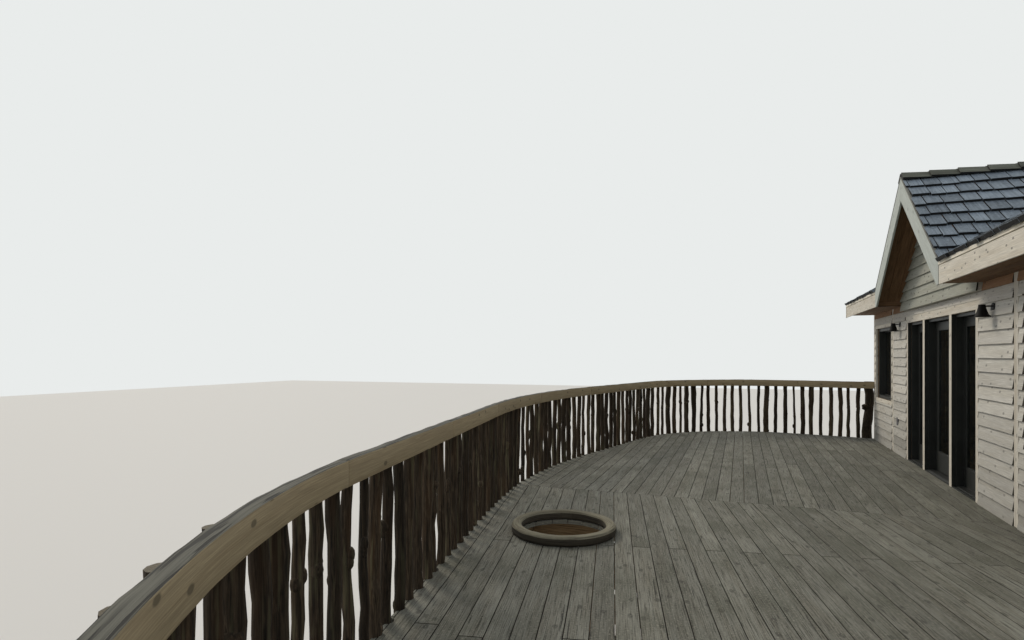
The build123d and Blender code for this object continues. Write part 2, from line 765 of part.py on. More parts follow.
def handle_side(y_face, side):
    """A rose, a neck and a lever on one face of the leaf."""
    x = LEAF_HALF - LEAF_STILE / 2
    centre = Pos(x, y_face, DECK_Z + HANDLE_Z) * Rot(90 * side, 0, 0)
    rose = Pos(0, 0, ROSE_T / 2) * Cylinder(ROSE_D / 2, ROSE_T)
    neck = Pos(0, 0, HANDLE_REACH / 2) * Cylinder(HANDLE_D / 2, HANDLE_REACH)
    grip = Pos(-HANDLE_LEVER / 2, 0, HANDLE_REACH) * Rot(0, 90, 0) * Cylinder(HANDLE_D / 2, HANDLE_LEVER)
    knuckle = Pos(0, 0, HANDLE_REACH) * Sphere(HANDLE_D / 2)
    tip = Pos(-HANDLE_LEVER, 0, HANDLE_REACH) * Sphere(HANDLE_D / 2)
    return centre * (rose + neck + grip + knuckle + tip)


def door_handle():
    return solids_of(handle_side(LEAF_Y, 1), handle_side(LEAF_Y + LEAF_T, -1))


def door_casing():
    """Pale boards over the frame's edges and posts, fused into one face frame."""
    y0, y1 = -TRIM_PROUD, FRAME_Y
    top = DOOR_HEAD_Z + DOOR_CASING_HEAD_W
    outer = DOOR_HALF + DOOR_CASING_W
    head_end = outer + DOOR_CASING_EAR
    side = block(DOOR_HALF, outer, y0, CLADDING, 0, DOOR_HEAD_Z)
    post = block(BAY_HALF, BAY_HALF + POST_W, y0, y1, 0, DOOR_HEAD_Z)
    head = block(-head_end, head_end, y0, CLADDING, DOOR_HEAD_Z, top)
    return head + side + mirrored_x(side) + post + mirrored_x(post)


# Windows

def window_set(inset, y0, y1):
    """The same box in all six windows, inset from the hole's edges."""
    half = WINDOW_W / 2 - inset
    z0, z1 = WINDOW_SILL_Z + inset, DOOR_HEAD_Z - inset
    shapes = []
    for x, width in FRONT_WINDOWS:
        side = width / 2 - inset
        shapes.append(block(x - side, x + side, y0, y1, z0, z1))
    shapes += [block(x - half, x + half, CABIN_DEPTH - y1, CABIN_DEPTH - y0, z0, z1)
               for x in BACK_WINDOWS_X]
    left = block(-CABIN_HALF_W + y0, -CABIN_HALF_W + y1, END_WINDOW_Y - half, END_WINDOW_Y + half, z0, z1)
    return shapes + [left, mirrored_x(left)]


def window_frames():
    outer = window_set(0, FRAME_Y, FRAME_BACK)
    inner = window_set(WINDOW_FRAME_W, 0, WALL_T)
    return solids_of(*[ring - hole for ring, hole in zip(outer, inner)])


def window_glass():
    middle = LEAF_Y + LEAF_T / 2
    return solids_of(*window_set(WINDOW_FRAME_W, middle - GLASS_T / 2, middle + GLASS_T / 2))


def window_casings():
    outer = window_set(-CASING_W, -TRIM_PROUD, CLADDING)
    inner = window_set(0, -TRIM_PROUD * 2, WALL_T)
    return solids_of(*[ring - hole for ring, hole in zip(outer, inner)])


# Fittings

def wall_lamp(x):
    """A plate on the wall, a short arm and a flared shade that opens downwards."""
    shade_top = LAMP_Z + (SHADE_TOP_D + LAMP_ARM_D) / 2
    arm_z = LAMP_Z + SHADE_TOP_D / 2 - LAMP_ARM_D / 2
    plate = rod_along_y(x, LAMP_Z, -LAMP_PLATE_T, CLADDING, LAMP_PLATE_D)
    arm = rod_along_y(x, arm_z, -LAMP_REACH, 0, LAMP_ARM_D)
    r0, r1 = SHADE_TOP_D / 2, SHADE_D / 2
    outer = turned([(0, 0), (r1, 0), (r0, SHADE_H), (0, SHADE_H)])
    inner = turned([(0, 0), (r1 - SHADE_WALL, 0), (r0 - SHADE_WALL, SHADE_H - SHADE_WALL),
                    (0, SHADE_H - SHADE_WALL)])
    place = Pos(x, -LAMP_REACH, DECK_Z + shade_top - SHADE_H)
    return plate + arm + place * outer - place * inner


def rod_along_y(x, z, y0, y1, diameter):
    """A round bar along Y, at a height above the deck."""
    return Pos(x, (y0 + y1) / 2, DECK_Z + z) * Rot(90, 0, 0) * Cylinder(diameter / 2, y1 - y0)


def turned(outline):
    """Revolve an outline of (radius, z) points round a vertical axis."""
    points = [(radius, 0, z) for radius, z in outline]
    return revolve(make_face(Polyline(*points, close=True)), Axis.Z)


def wall_lamps():
    return solids_of(*[wall_lamp(x) for x in LAMPS_X])


def outlet_box():
    width, depth, height = OUTLET_SIZE
    body = block(OUTLET_X - width / 2, OUTLET_X + width / 2, CLADDING - depth, CLADDING,
                 OUTLET_Z - height / 2, OUTLET_Z + height / 2)
    front = body.faces().sort_by(Axis.Y)[0]
    return fillet(front.edges(), OUTLET_ROUND)


NODES = {
    "deck_far": deck_far,
    "deck_near": deck_near,
    "tree_collar": tree_collar,
    "deck_joists": deck_joists,
    "tree_hole_headers": tree_hole_headers,
    "rim_joist": rim_joist,
    "rim_beam": rim_beam,
    "deck_beam": deck_beam,
    "cabin_beams": cabin_beams,
    "log_posts": log_posts,
    "handrail": handrail,
    "end_posts": end_posts,
    "cabin_joists": cabin_joists,
    "cabin_rim_boards": cabin_rim_boards,
    "cabin_floor": cabin_floor,
    "front_wall_left": front_wall_left,
    "front_wall_right": front_wall_right,
    "front_gable_wall": front_gable_wall,
    "back_wall": back_wall,
    "left_wall": left_wall,
    "right_wall": right_wall,
    "corner_boards": corner_boards,
    "wall_battens": wall_battens,
    "main_roof_front": main_roof_front,
    "main_roof_back": main_roof_back,
    "fascias": fascias,
    "barge_boards": barge_boards,
    "main_ridge_cap": main_ridge_cap,
    "gable_roof_left": gable_slope_left,
    "gable_roof_right": gable_roof_right,
    "gable_rake_boards": gable_rake_boards,
    "gable_soffit": gable_soffit,
    "gable_ridge_cap": gable_ridge_cap,
    "door_frame": door_frame,
    "sidelight_glass": sidelight_glass,
    "threshold": threshold,
    "door_leaf": door_leaf,
    "door_glass": door_glass,
    "door_handle": door_handle,
    "hinge_pins": hinge_pins,
    "hinge_knuckles": hinge_knuckles,
    "door_casing": door_casing,
    "window_frames": window_frames,
    "window_glass": window_glass,
    "window_casings": window_casings,
    "wall_lamps": wall_lamps,
    "outlet_box": outlet_box,
}


def main():
    os.makedirs("parts", exist_ok=True)
    for name, make in NODES.items():
        export_step(make(), f"parts/{name}.step")
    for name, bay in baluster_bays().items():
        export_step(bay, f"parts/{name}.step")


main()
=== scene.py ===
"""Finish of the timber tree house: deck boards, bark poles, lapped siding, shakes, glass and iron.

Metres, +Z up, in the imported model's frame. Heights named *_z count from the deck's surface.
"""

import math
import random
from contextlib import contextmanager

import bpy
import numpy as np
from mathutils import Matrix, Vector, noise


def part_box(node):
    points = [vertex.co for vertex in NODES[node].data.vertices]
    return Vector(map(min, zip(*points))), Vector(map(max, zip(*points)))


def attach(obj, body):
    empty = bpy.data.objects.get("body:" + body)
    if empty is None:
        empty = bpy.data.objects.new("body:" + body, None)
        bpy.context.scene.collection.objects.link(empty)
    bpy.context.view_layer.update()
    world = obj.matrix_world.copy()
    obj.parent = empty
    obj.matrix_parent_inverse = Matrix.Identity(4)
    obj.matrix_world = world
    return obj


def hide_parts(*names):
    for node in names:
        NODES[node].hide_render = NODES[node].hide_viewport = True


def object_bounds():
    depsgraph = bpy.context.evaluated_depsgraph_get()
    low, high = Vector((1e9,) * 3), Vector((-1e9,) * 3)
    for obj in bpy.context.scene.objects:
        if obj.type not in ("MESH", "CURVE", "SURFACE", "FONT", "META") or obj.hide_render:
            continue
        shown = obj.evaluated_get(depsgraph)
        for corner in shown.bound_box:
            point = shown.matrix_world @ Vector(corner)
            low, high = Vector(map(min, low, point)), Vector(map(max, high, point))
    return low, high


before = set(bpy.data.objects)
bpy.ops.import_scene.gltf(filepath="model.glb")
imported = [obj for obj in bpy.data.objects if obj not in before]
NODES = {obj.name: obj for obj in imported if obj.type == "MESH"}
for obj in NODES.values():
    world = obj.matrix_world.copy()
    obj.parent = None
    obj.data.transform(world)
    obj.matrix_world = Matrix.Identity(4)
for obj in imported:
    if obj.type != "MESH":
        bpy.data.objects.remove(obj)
CAD_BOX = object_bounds()

bl_info = {
    "name": "Tree House Finish",
    "version": (1, 0, 0),
    "blender": (4, 5, 0),
    "location": "View3D > Sidebar > Tree House",
    "description": "Lays boards, poles, siding and shakes over the tree house's solids",
    "category": "Object",
}

# The deck's edge: its corners and the radii that round the four middle ones
EDGE_CORNERS = ((-3.95, 0), (-4.75, -3.6), (1.676, -5.171), (10.6, -3.583), (10.6, 1.4), (3.915, 1.4))
EDGE_RADII = (2.4, 9.0, 4.6, 0.7)
BOARD_COUNTS = (1, 2, 1, 2, 2, 3, 1, 1, 3)
# The handrail joint near the camera sits past the start of its arc
LATE_JOINT, LATE_BY = 8, 0.12
# How far poles end under the rail's top, and where some stand above it
POLE_DROP = 0.07
PROUD_POLES = ((8.22, -3.79, 1.057), (8.405, -3.685, 1.03), (7.98, -3.915, 1.065))
CABIN_HALF = 3.915
CABIN_DEPTH = 5.2
TREE = (4.065, -3.91)
# The photo's curb is lower than its solid
COLLAR_DROP = 0.033
X_AXIS, Y_AXIS, Z_AXIS = Vector((1, 0, 0)), Vector((0, 1, 0)), Vector((0, 0, 1))
# A face looks along an axis from this share of its normal on
FLAT_ON = 0.9
# Boards start their grain up to this far apart
GRAIN_SHIFT = 60
# Blender seeds its noise from the clock, and a seed of its own makes every run the same
NOISE_SEED = 1


def linear(hex_colour):
    """An sRGB hex value as linear red, green, blue."""
    channels = [int(hex_colour[i:i + 2], 16) / 255 for i in (0, 2, 4)]
    return [c / 12.92 if c <= 0.04045 else ((c + 0.055) / 1.055) ** 2.4 for c in channels]


def size(name, description, default):
    """A length that a user may change."""
    return bpy.props.FloatProperty(
        name=name, description=description, default=default, min=0, unit="LENGTH", subtype="DISTANCE")


def colour(name, description, default):
    """A colour that a user may change, from its hex value."""
    return bpy.props.FloatVectorProperty(
        name=name, description=description, default=linear(default), min=0, max=1, subtype="COLOR")


class DeckSettings(bpy.types.PropertyGroup):
    level: size("Deck level", "Height of the deck's surface above the ground", 3.0)
    board_w: size("Board width", "Width of one deck board", 0.1435)
    board_t: size("Board thickness", "Thickness of one deck board", 0.038)
    gap: size("Gap", "Open joint between two boards", 0.0045)
    lobe: size("Lobe", "How far boards reach out between the poles", 0.034)
    seam_x: size("Seam", "Where the two board directions meet", 2.34)
    hole_r: size("Trunk hole", "Radius of the hole for the trunk", 0.382)
    colour_pale: colour("Pale grain", "Sun-bleached fibres of the deck boards", "7c7c73")
    colour_dark: colour("Dark grain", "Damp fibres of the deck boards", "31312b")


class RailingSettings(bpy.types.PropertyGroup):
    rail_w: size("Rail width", "Thickness of the handrail", 0.07)
    rail_h: size("Rail height", "Depth of the handrail on edge", 0.13)
    rail_top_z: size("Rail top", "Top of the handrail above the deck", 1.095)
    joint: size("Rail joint", "Gap between two lengths of handrail", 0.002)
    colour_rail: colour("Rail", "Bare inner face of the handrail", "ab9b7c")
    colour_rail_top: colour("Rail top", "Rain-greyed top of the handrail", "5b5b53")
    colour_bark: colour("Bark", "Bark of the poles", "40362a")


class WallSettings(bpy.types.PropertyGroup):
    exposure: size("Exposure", "Visible height of one siding board", 0.143)
    board_t: size("Board thickness", "Thickness of one siding board", 0.016)
    proud: size("Lower edge", "How far a board's lower edge stands out from the wall's plane", 0.025)
    lap: size("Lap", "How far each board reaches up behind the next", 0.024)
    gap: size("Gap", "Open joint between a board and the trim", 0.005)
    colour_rake: colour("Rake", "Greenish grey boards on the gable's slopes", "bdc4c0")
    colour_siding: colour("Siding", "Bare weathered siding", "d2d0c9")
    colour_trim: colour("Trim", "Casings, corner boards and fascias", "ded9cd")


class RoofSettings(bpy.types.PropertyGroup):
    exposure: size("Exposure", "Visible length of one shake", 0.257)
    narrow: size("Narrowest", "Width of the narrowest shake", 0.12)
    wide: size("Widest", "Width of the widest shake", 0.22)
    butt: size("Butt", "Thickness of a shake at its lower end", 0.046)
    tip: size("Tip", "Thickness of a shake where the next course covers it", 0.007)
    cap_exposure: size("Cap exposure", "Visible length of one ridge board", 0.34)
    colour_shake: colour("Shakes", "Slate-blue weathered shakes", "8f9ca8")
    colour_soffit: colour("Soffit", "Dark stained boards under the gable", "85674b")


class StageSettings(bpy.types.PropertyGroup):
    colour_floor: colour("Floor", "Plain floor under the object", "d9d8d5")
    colour_sky: colour("Backdrop", "Plain pale backdrop", "e9eceb")


def deck():
    return bpy.context.scene.tree_house_deck


def railing():
    return bpy.context.scene.tree_house_railing


def walls():
    return bpy.context.scene.tree_house_walls


def roof():
    return bpy.context.scene.tree_house_roof


# Modelling

def select_only(*pieces):
    """Deselect everything, then select these pieces."""
    bpy.ops.object.select_all(action="DESELECT")
    for piece in pieces:
        piece.select_set(True)
    bpy.context.view_layer.objects.active = pieces[-1]


@contextmanager
def editing(piece):
    """Edit mode on a piece with all of it selected, and back again."""
    select_only(piece)
    bpy.ops.object.mode_set(mode="EDIT")
    bpy.ops.mesh.select_all(action="SELECT")
    yield
    bpy.ops.object.mode_set(mode="OBJECT")


def turn_outward():
    """Select all of the piece in edit mode and turn its faces outward."""
    bpy.ops.mesh.select_all(action="SELECT")
    bpy.ops.mesh.normals_make_consistent(inside=False)


def separated(piece):
    """A piece's loose parts as pieces of their own."""
    with editing(piece):
        bpy.ops.mesh.separate(type="LOOSE")
    return list(bpy.context.selected_objects)


def settled(piece):
    """Move a piece's place, turn and size into its mesh."""
    select_only(piece)
    bpy.ops.object.transform_apply(location=True, rotation=True, scale=True)
    return piece


def modified(piece, kind, **settings):
    """Finish a piece with one modifier and apply it."""
    select_only(piece)
    made = piece.modifiers.new(kind.title(), kind)
    for name, value in settings.items():
        setattr(made, name, value)
    bpy.ops.object.modifier_apply(modifier=made.name)
    return piece


def softened(piece, width=0.002, segments=2, angle=40):
    """Round a piece's sharp edges as a plane or a sander does."""
    return modified(piece, "BEVEL", width=width, segments=segments, limit_method="ANGLE",
                    angle_limit=math.radians(angle), harden_normals=False)


def smooth(piece, angle=35):
    select_only(piece)
    bpy.ops.object.shade_smooth_by_angle(angle=math.radians(angle))
    return piece


def new_box(name, low, high):
    """A box between two corners, to be shaped further."""
    low, high = Vector(low), Vector(high)
    bpy.ops.mesh.primitive_cube_add(size=1, location=(low + high) / 2)
    box = bpy.context.object
    box.name = name
    box.scale = high - low
    return settled(box)


def solid_copy(node, name):
    """A merged copy of a CAD node's mesh, flat faces whole again."""
    piece = NODES[node].copy()
    piece.data = piece.data.copy()
    piece.parent = None
    for key in list(piece.keys()):
        del piece[key]
    piece.name = name
    piece.data.materials.clear()
    bpy.context.scene.collection.objects.link(piece)
    with editing(piece):
        bpy.ops.mesh.remove_doubles(threshold=0.00005)
        bpy.ops.mesh.dissolve_limited(angle_limit=math.radians(0.5))
    return piece


def joined(name, pieces):
    """Many pieces as one, under one name."""
    select_only(*pieces)
    bpy.ops.object.join()
    whole = bpy.context.object
    whole.name = name
    whole.data.name = name
    return whole


def removed(*pieces):
    for piece in pieces:
        bpy.data.objects.remove(piece)


def dressed(piece, finish=None, body="house", node_names=()):
    """Give a finished piece its material, its body and the nodes that it stands for."""
    if finish:
        piece.data.materials.clear()
        piece.data.materials.append(MATERIALS[finish])
    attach(piece, body)
    if node_names:
        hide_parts(*node_names)
    return piece


def painted(finish, *node_names):
    """Give CAD nodes that stay a material."""
    for name in node_names:
        data = NODES[name].data
        data.materials.clear()
        data.materials.append(MATERIALS[finish])


# Boards: a model board lies along X, and each copy is cut to size with its own grain

def grain_layers(mesh):
    """A mesh's maps of grain and tone, made where they are missing."""
    for name in ("UVMap", "tone"):
        if name not in mesh.uv_layers:
            mesh.uv_layers.new(name=name)
    return mesh.uv_layers["UVMap"].data, mesh.uv_layers["tone"].data


def grain_map(piece, along=X_AXIS, shift=(0, 0), tone=0.5):
    """Map the grain of a piece: u runs along it, v across. A second map holds its tone."""
    mesh = piece.data
    along = Vector(along).normalized()
    grain, tones = grain_layers(mesh)
    for face in mesh.polygons:
        across = face.normal.cross(along)
        if across.length < 0.2:
            across = Vector((along.y, along.z, along.x))
        across.normalize()
        for corner in face.loop_indices:
            point = mesh.vertices[mesh.loops[corner].vertex_index].co
            grain[corner].uv = (point.dot(along) + shift[0], point.dot(across) + shift[1])
            tones[corner].uv = (tone, 0)
    return piece


def own_grain(piece, along, chance, across=True):
    """Map a board's grain from a place and with a tone of its own."""
    shift = (chance.uniform(0, GRAIN_SHIFT), chance.uniform(0, GRAIN_SHIFT) if across else 0)
    return grain_map(piece, along, shift, chance.random())


def finish_faces(piece, finish, picks):
    """Give the faces that a test picks a finish of their own."""
    materials = piece.data.materials
    materials.append(MATERIALS[finish])
    for face in piece.data.polygons:
        if picks(face.normal, face.center):
            face.material_index = len(materials) - 1
    return piece


def model_board(finish, width, thickness, round_off=0.002, segments=1, length=1.0, tip=None,
                ends="end_grain", shaded_edges=False):
    """A board along X, its face at z = 0 or its back when it thins to a tip, with sawn ends."""
    if tip is None:
        board = new_box("model", (-length / 2, -width / 2, -thickness), (length / 2, width / 2, 0))
    else:
        board = new_box("model", (-length / 2, -width / 2, 0), (length / 2, width / 2, thickness))
        for vertex in board.data.vertices:
            if vertex.co.x > 0 and vertex.co.z > 0:
                vertex.co.z = tip
    softened(board, round_off, segments)
    board.data.materials.append(MATERIALS[finish])
    # The ends take the end finish; with shaded_edges the long sides take it too, as painted shade in the gaps
    # between boards
    finish_faces(board, ends, lambda normal, at: (
        abs(normal.x) > FLAT_ON or shaded_edges and abs(normal.y) > FLAT_ON))
    return grain_map(board)


def cut_to(model, length, place, chance, width=None, fresh_and_shade_share=0.0, darker=0.0):
    """A copy of a model board, with its ends and sides moved out to a new size."""
    piece = model.copy()
    piece.data = mesh = model.data.copy()
    count = len(mesh.vertices)
    points = np.empty(count * 3, np.float32)
    mesh.vertices.foreach_get("co", points)
    points = points.reshape(-1, 3)
    old = np.ptp(points[:, :2], axis=0)
    points[:, 0] += np.sign(points[:, 0]) * (length - old[0]) / 2
    if width is not None:
        points[:, 1] += np.sign(points[:, 1]) * (width - old[1]) / 2
    mesh.vertices.foreach_set("co", points.ravel())
    corners = np.empty(len(mesh.loops), np.int32)
    mesh.loops.foreach_get("vertex_index", corners)
    grain = np.empty(len(corners) * 2, np.float32)
    mesh.uv_layers["UVMap"].data.foreach_get("uv", grain)
    grain = grain.reshape(-1, 2)
    grain[:, 0] = points[corners, 0] + chance.uniform(0, GRAIN_SHIFT)
    grain[:, 1] += chance.uniform(0, GRAIN_SHIFT)
    mesh.uv_layers["UVMap"].data.foreach_set("uv", grain.ravel())
    # Each board's random tone, less any darkening, and its share of fresher wood with painted eave shade
    tones = np.tile(np.array([chance.random() - darker, fresh_and_shade_share], np.float32), len(corners))
    mesh.uv_layers["tone"].data.foreach_set("uv", tones)
    mesh.transform(place)
    bpy.context.scene.collection.objects.link(piece)
    return piece


def frame_at(point, along, outward):
    """A place whose X runs along a board and whose Z points out of its face."""
    along, outward = Vector(along).normalized(), Vector(outward).normalized()
    across = outward.cross(along)
    turn = Matrix((along, across, outward)).transposed()
    return Matrix.Translation(point) @ turn.to_4x4()


def trimmed(piece, point, outward):
    """Cut away what lies beyond a plane and close the cut."""
    with editing(piece):
        bpy.ops.mesh.bisect(plane_co=point, plane_no=outward, use_fill=True, clear_outer=True)
    return piece


# The deck's edge as a path

def edge_runs():
    """Straight runs and arcs as (start, length, first point or centre, first heading, radius)."""
    runs, start, here = [], 0, Vector(EDGE_CORNERS[0])
    for index, radius in enumerate(EDGE_RADII):
        before, corner, after = (Vector(c) for c in EDGE_CORNERS[index:index + 3])
        into, out = (corner - before).normalized(), (after - corner).normalized()
        turn = math.atan2(into.x * out.y - into.y * out.x, into.dot(out))
        reach = radius * math.tan(turn / 2)
        first = corner - into * reach
        runs.append((start, (first - here).length, here, into, None))
        start += (first - here).length
        centre = first + Vector((-into.y, into.x)) * radius
        runs.append((start, radius * turn, centre, into, radius))
        start += radius * turn
        here = corner + out * reach
    last = Vector(EDGE_CORNERS[-1])
    runs.append((start, (last - here).length, here, (last - here).normalized(), None))
    return runs


EDGE = edge_runs()
EDGE_LENGTH = EDGE[-1][0] + EDGE[-1][1]


def edge_place(s):
    """The point and the direction of the deck's edge at a distance along it."""
    for start, length, place, heading, radius in EDGE:
        if s <= start + length:
            break
    if radius is None:
        return place + heading * (s - start), heading
    angle = math.atan2(heading.y, heading.x) + (s - start) / radius
    heading = Vector((math.cos(angle), math.sin(angle)))
    return place + Vector((heading.y, -heading.x)) * radius, heading


def laid_along_edge(piece):
    """Bend a straight piece round the edge: its X is the distance along, its Y the inset."""
    for vertex in piece.data.vertices:
        s, inset, z = vertex.co
        point, heading = edge_place(s)
        vertex.co = (point.x - heading.y * inset, point.y + heading.x * inset, z)
    piece.data.update()
    return piece


def cut_across(board, step):
    """Divide a board's long edges so that it can bend or go uneven."""
    xs = [vertex.co.x for vertex in board.data.vertices]
    cuts = max(1, round((max(xs) - min(xs)) / step) - 1)
    with editing(board):
        bpy.ops.mesh.select_mode(type="EDGE")
        bpy.ops.mesh.select_all(action="DESELECT")
    for edge in board.data.edges:
        a, b = (board.data.vertices[i].co for i in edge.vertices)
        edge.select = abs(a.x - b.x) > 0.001
    bpy.ops.object.mode_set(mode="EDIT")
    bpy.ops.mesh.subdivide(number_cuts=cuts)
    bpy.ops.mesh.select_mode(type="VERT")
    bpy.ops.object.mode_set(mode="OBJECT")
    return board


# How finely a board is cut to bend it or to make it uneven, and how uneven its two sides are
BEND_STEP, UNEVEN_STEP = 0.12, 0.06
UNEVEN_SCALE, UNEVEN_OUTSIDE, UNEVEN_INSIDE = 7, 1.6, 0.5


def bent_boards(name, inset, width, bottom, top, round_off, chance, wobble=0.0, late=0.0):
    """Boards bent round the edge, butted end to end."""
    joint = railing().joint
    joints = [start + length * part / count
              for (start, length, *_), count in zip(EDGE, BOARD_COUNTS) for part in range(count)]
    joints[LATE_JOINT] += late
    joints.append(EDGE_LENGTH)
    boards = []
    for s0, s1 in zip(joints, joints[1:]):
        board = new_box(name, (s0 + joint / 2, inset, bottom), (s1 - joint / 2, inset + width, top))
        cut_across(board, UNEVEN_STEP if wobble else BEND_STEP)
        softened(board, round_off, 2)
        own_grain(board, X_AXIS, chance)
        if wobble:
            for vertex in board.data.vertices:
                drift = noise.noise_vector(vertex.co * UNEVEN_SCALE) * wobble
                outer = UNEVEN_OUTSIDE if vertex.co.y < inset + width / 2 else UNEVEN_INSIDE
                vertex.co += Vector((0, abs(drift.y) * outer, (drift.z - wobble / 2) * outer))
        boards.append(laid_along_edge(board))
    return smooth(joined(name, boards))


# Materials

def put_in(tree, node, inputs):
    """Set a node's inputs to values, or link them to other nodes' outputs."""
    for name, value in inputs.items():
        if isinstance(value, bpy.types.NodeSocket):
            tree.links.new(value, node.inputs[name])
        else:
            node.inputs[name].default_value = value


def add(tree, kind, settings=(), inputs=(), stops=()):
    """A shader node with its settings, its inputs as values or other nodes' outputs, and its ramp."""
    made = tree.nodes.new("ShaderNode" + kind)
    for name, value in dict(settings).items():
        setattr(made, name, value)
    put_in(tree, made, dict(inputs))
    for index, (place, value) in enumerate(stops):
        ramp = made.color_ramp.elements
        stop = ramp[index] if index < len(ramp) else ramp.new(place)
        stop.position = place
        stop.color = (*value, 1) if hasattr(value, "__len__") else (value, value, value, 1)
    return made


def new_material(name):
    """A material with only its shader and output, beside its node tree and its shader."""
    made = bpy.data.materials.new(name)
    made.use_nodes = True
    tree = made.node_tree
    tree.nodes.clear()
    shader = add(tree, "BsdfPrincipled")
    add(tree, "OutputMaterial", inputs={"Surface": shader.outputs["BSDF"]})
    return made, tree, shader


# Each of these adds a node and returns its output

def map_of(tree, name):
    return add(tree, "UVMap", {"uv_map": name}).outputs["UV"]


def own_place(tree):
    return add(tree, "TexCoord").outputs["Object"]


def stretched(tree, place, scale, **more):
    return add(tree, "Mapping", inputs={"Vector": place, "Scale": scale, **more}).outputs["Vector"]


def cloudy(tree, place, scale, detail, **more):
    made = add(tree, "TexNoise", inputs={"Vector": place, "Scale": scale, "Detail": detail, **more})
    return made.outputs["Fac"]


def ramped(tree, share, *stops):
    return add(tree, "ValToRGB", inputs={"Fac": share}, stops=stops).outputs["Color"]


def ranged(tree, share, low, high, clamp=True):
    ends = {"Value": share, "To Min": low, "To Max": high}
    return add(tree, "MapRange", {"clamp": clamp}, ends).outputs["Result"]


def calculated(tree, operation, first, second):
    return add(tree, "Math", {"operation": operation}, {0: first, 1: second}).outputs[0]


def mixed(tree, blend, share, first, second):
    return add(tree, "Mix", {"data_type": "RGBA", "blend_type": blend},
               {0: share, 6: first, 7: second}).outputs[2]


def shade(values, factor):
    """A colour made darker or paler."""
    return [min(1, c * factor) for c in values]


def surfaced(tree, shader, colour_now, roughness, specular, height, relief, depth):
    """Connect a colour, a roughness and a bump to a shader."""
    put_in(tree, shader, {"Base Color": colour_now, "Roughness": roughness, "Specular IOR Level": specular})
    bump = add(tree, "Bump", inputs={"Height": height, "Strength": relief, "Distance": depth})
    put_in(tree, shader, {"Normal": bump.outputs["Normal"]})


def timber(name, base, dark, axis=None, fibre_mm=3.0, checks=0.5, knots=0.35, spread=0.25,
           roughness=0.82, relief=0.5, streaks=(0.66, 0.62, 0.57), check_at=0.3, stain=None, fresh_and_shade=None,
           specks=None, speck_scale=60.0, knot_scale=1.0):
    """Bare weathered timber: fibres along the board, checks, knots and a tone for each board.

    With no axis the grain follows the piece's own map. Otherwise it runs along that axis.
    """
    made, tree, shader = new_material(name)
    if axis is None:
        place = map_of(tree, "UVMap")
        own = add(tree, "SeparateXYZ", inputs={0: map_of(tree, "tone")}).outputs
        tone = own["X"]
    else:
        turn = {"X": (0, 0, 0), "Y": (0, 0, math.pi / 2), "Z": (0, math.pi / 2, 0)}[axis]
        place = stretched(tree, own_place(tree), (1, 1, 1), Rotation=turn)
        tone = cloudy(tree, place, 0.9, 1.0)
    fibre = 1000 / fibre_mm / 2
    grain = cloudy(tree, stretched(tree, place, (fibre / 45, fibre, fibre)), 1.0, 5.0,
                   Roughness=0.62, Distortion=0.25)
    bands = cloudy(tree, stretched(tree, place, (0.9, 14, 14)), 1.0, 3.0, Distortion=0.8)
    colour_now = mixed(tree, "MULTIPLY", 0.75,
                       ramped(tree, grain, (0.34, dark), (0.5, shade(base, 0.86)), (0.68, shade(base, 1.12))),
                       ramped(tree, bands, (0.3, streaks), (0.62, (1, 1, 1))))
    lift = ranged(tree, tone, 1 - spread, 1 + spread, clamp=False)
    colour_now = mixed(tree, "MULTIPLY", 1.0, colour_now, lift)
    crack = cloudy(tree, stretched(tree, place, (1.6, 46, 46)), 1.0, 2.0, Distortion=0.5)
    line = ramped(tree, crack, (check_at - 0.015, 1.0), (check_at + 0.015, 0.0))
    colour_now = mixed(tree, "MIX", calculated(tree, "MULTIPLY", line, checks), colour_now,
                       (*shade(dark, 0.35), 1))
    knot_place = stretched(tree, place, [times * knot_scale for times in (3.4, 6.5, 6.5)])
    spot = add(tree, "TexVoronoi", {"voronoi_dimensions": "3D" if axis else "2D"},
               {"Vector": knot_place, "Scale": 1.0}).outputs
    one_in = add(tree, "SeparateXYZ", inputs={0: spot["Color"]}).outputs["X"]
    kept = calculated(tree, "MULTIPLY", calculated(tree, "GREATER_THAN", one_in, 0.45), knots)
    knot = ramped(tree, spot["Distance"], (0.08, 1.0), (0.13, 0.0))
    colour_now = mixed(tree, "MIX", calculated(tree, "MULTIPLY", knot, kept), colour_now,
                       (*shade(dark, 0.45), 1))
    # Boards are multiplied by their share of this colour: fresher brown wood, darkened with painted shade
    # from the eave
    if fresh_and_shade:
        colour_now = mixed(tree, "MULTIPLY", own["Y"], colour_now, (*fresh_and_shade, 1))
    if stain:
        share = ramped(tree, cloudy(tree, place, 1.7, 3.0), (0.45, 0.0), (0.7, 0.6))
        colour_now = mixed(tree, "MIX", share, colour_now, (*stain, 1))
    if specks:
        dots = cloudy(tree, place, speck_scale, 3.0, Roughness=0.7)
        pale = ramped(tree, dots, (0.56, 0.0), (0.68, 0.7))
        colour_now = mixed(tree, "MIX", pale, colour_now, (*specks, 1))
        pits = ramped(tree, dots, (0.3, 0.45), (0.42, 1.0))
        colour_now = mixed(tree, "MULTIPLY", 1.0, colour_now, pits)
    height = mixed(tree, "MULTIPLY", 1.0, grain, calculated(tree, "SUBTRACT", 1.0, line))
    surfaced(tree, shader, colour_now, roughness, 0.3, height, relief, 0.003)
    return made


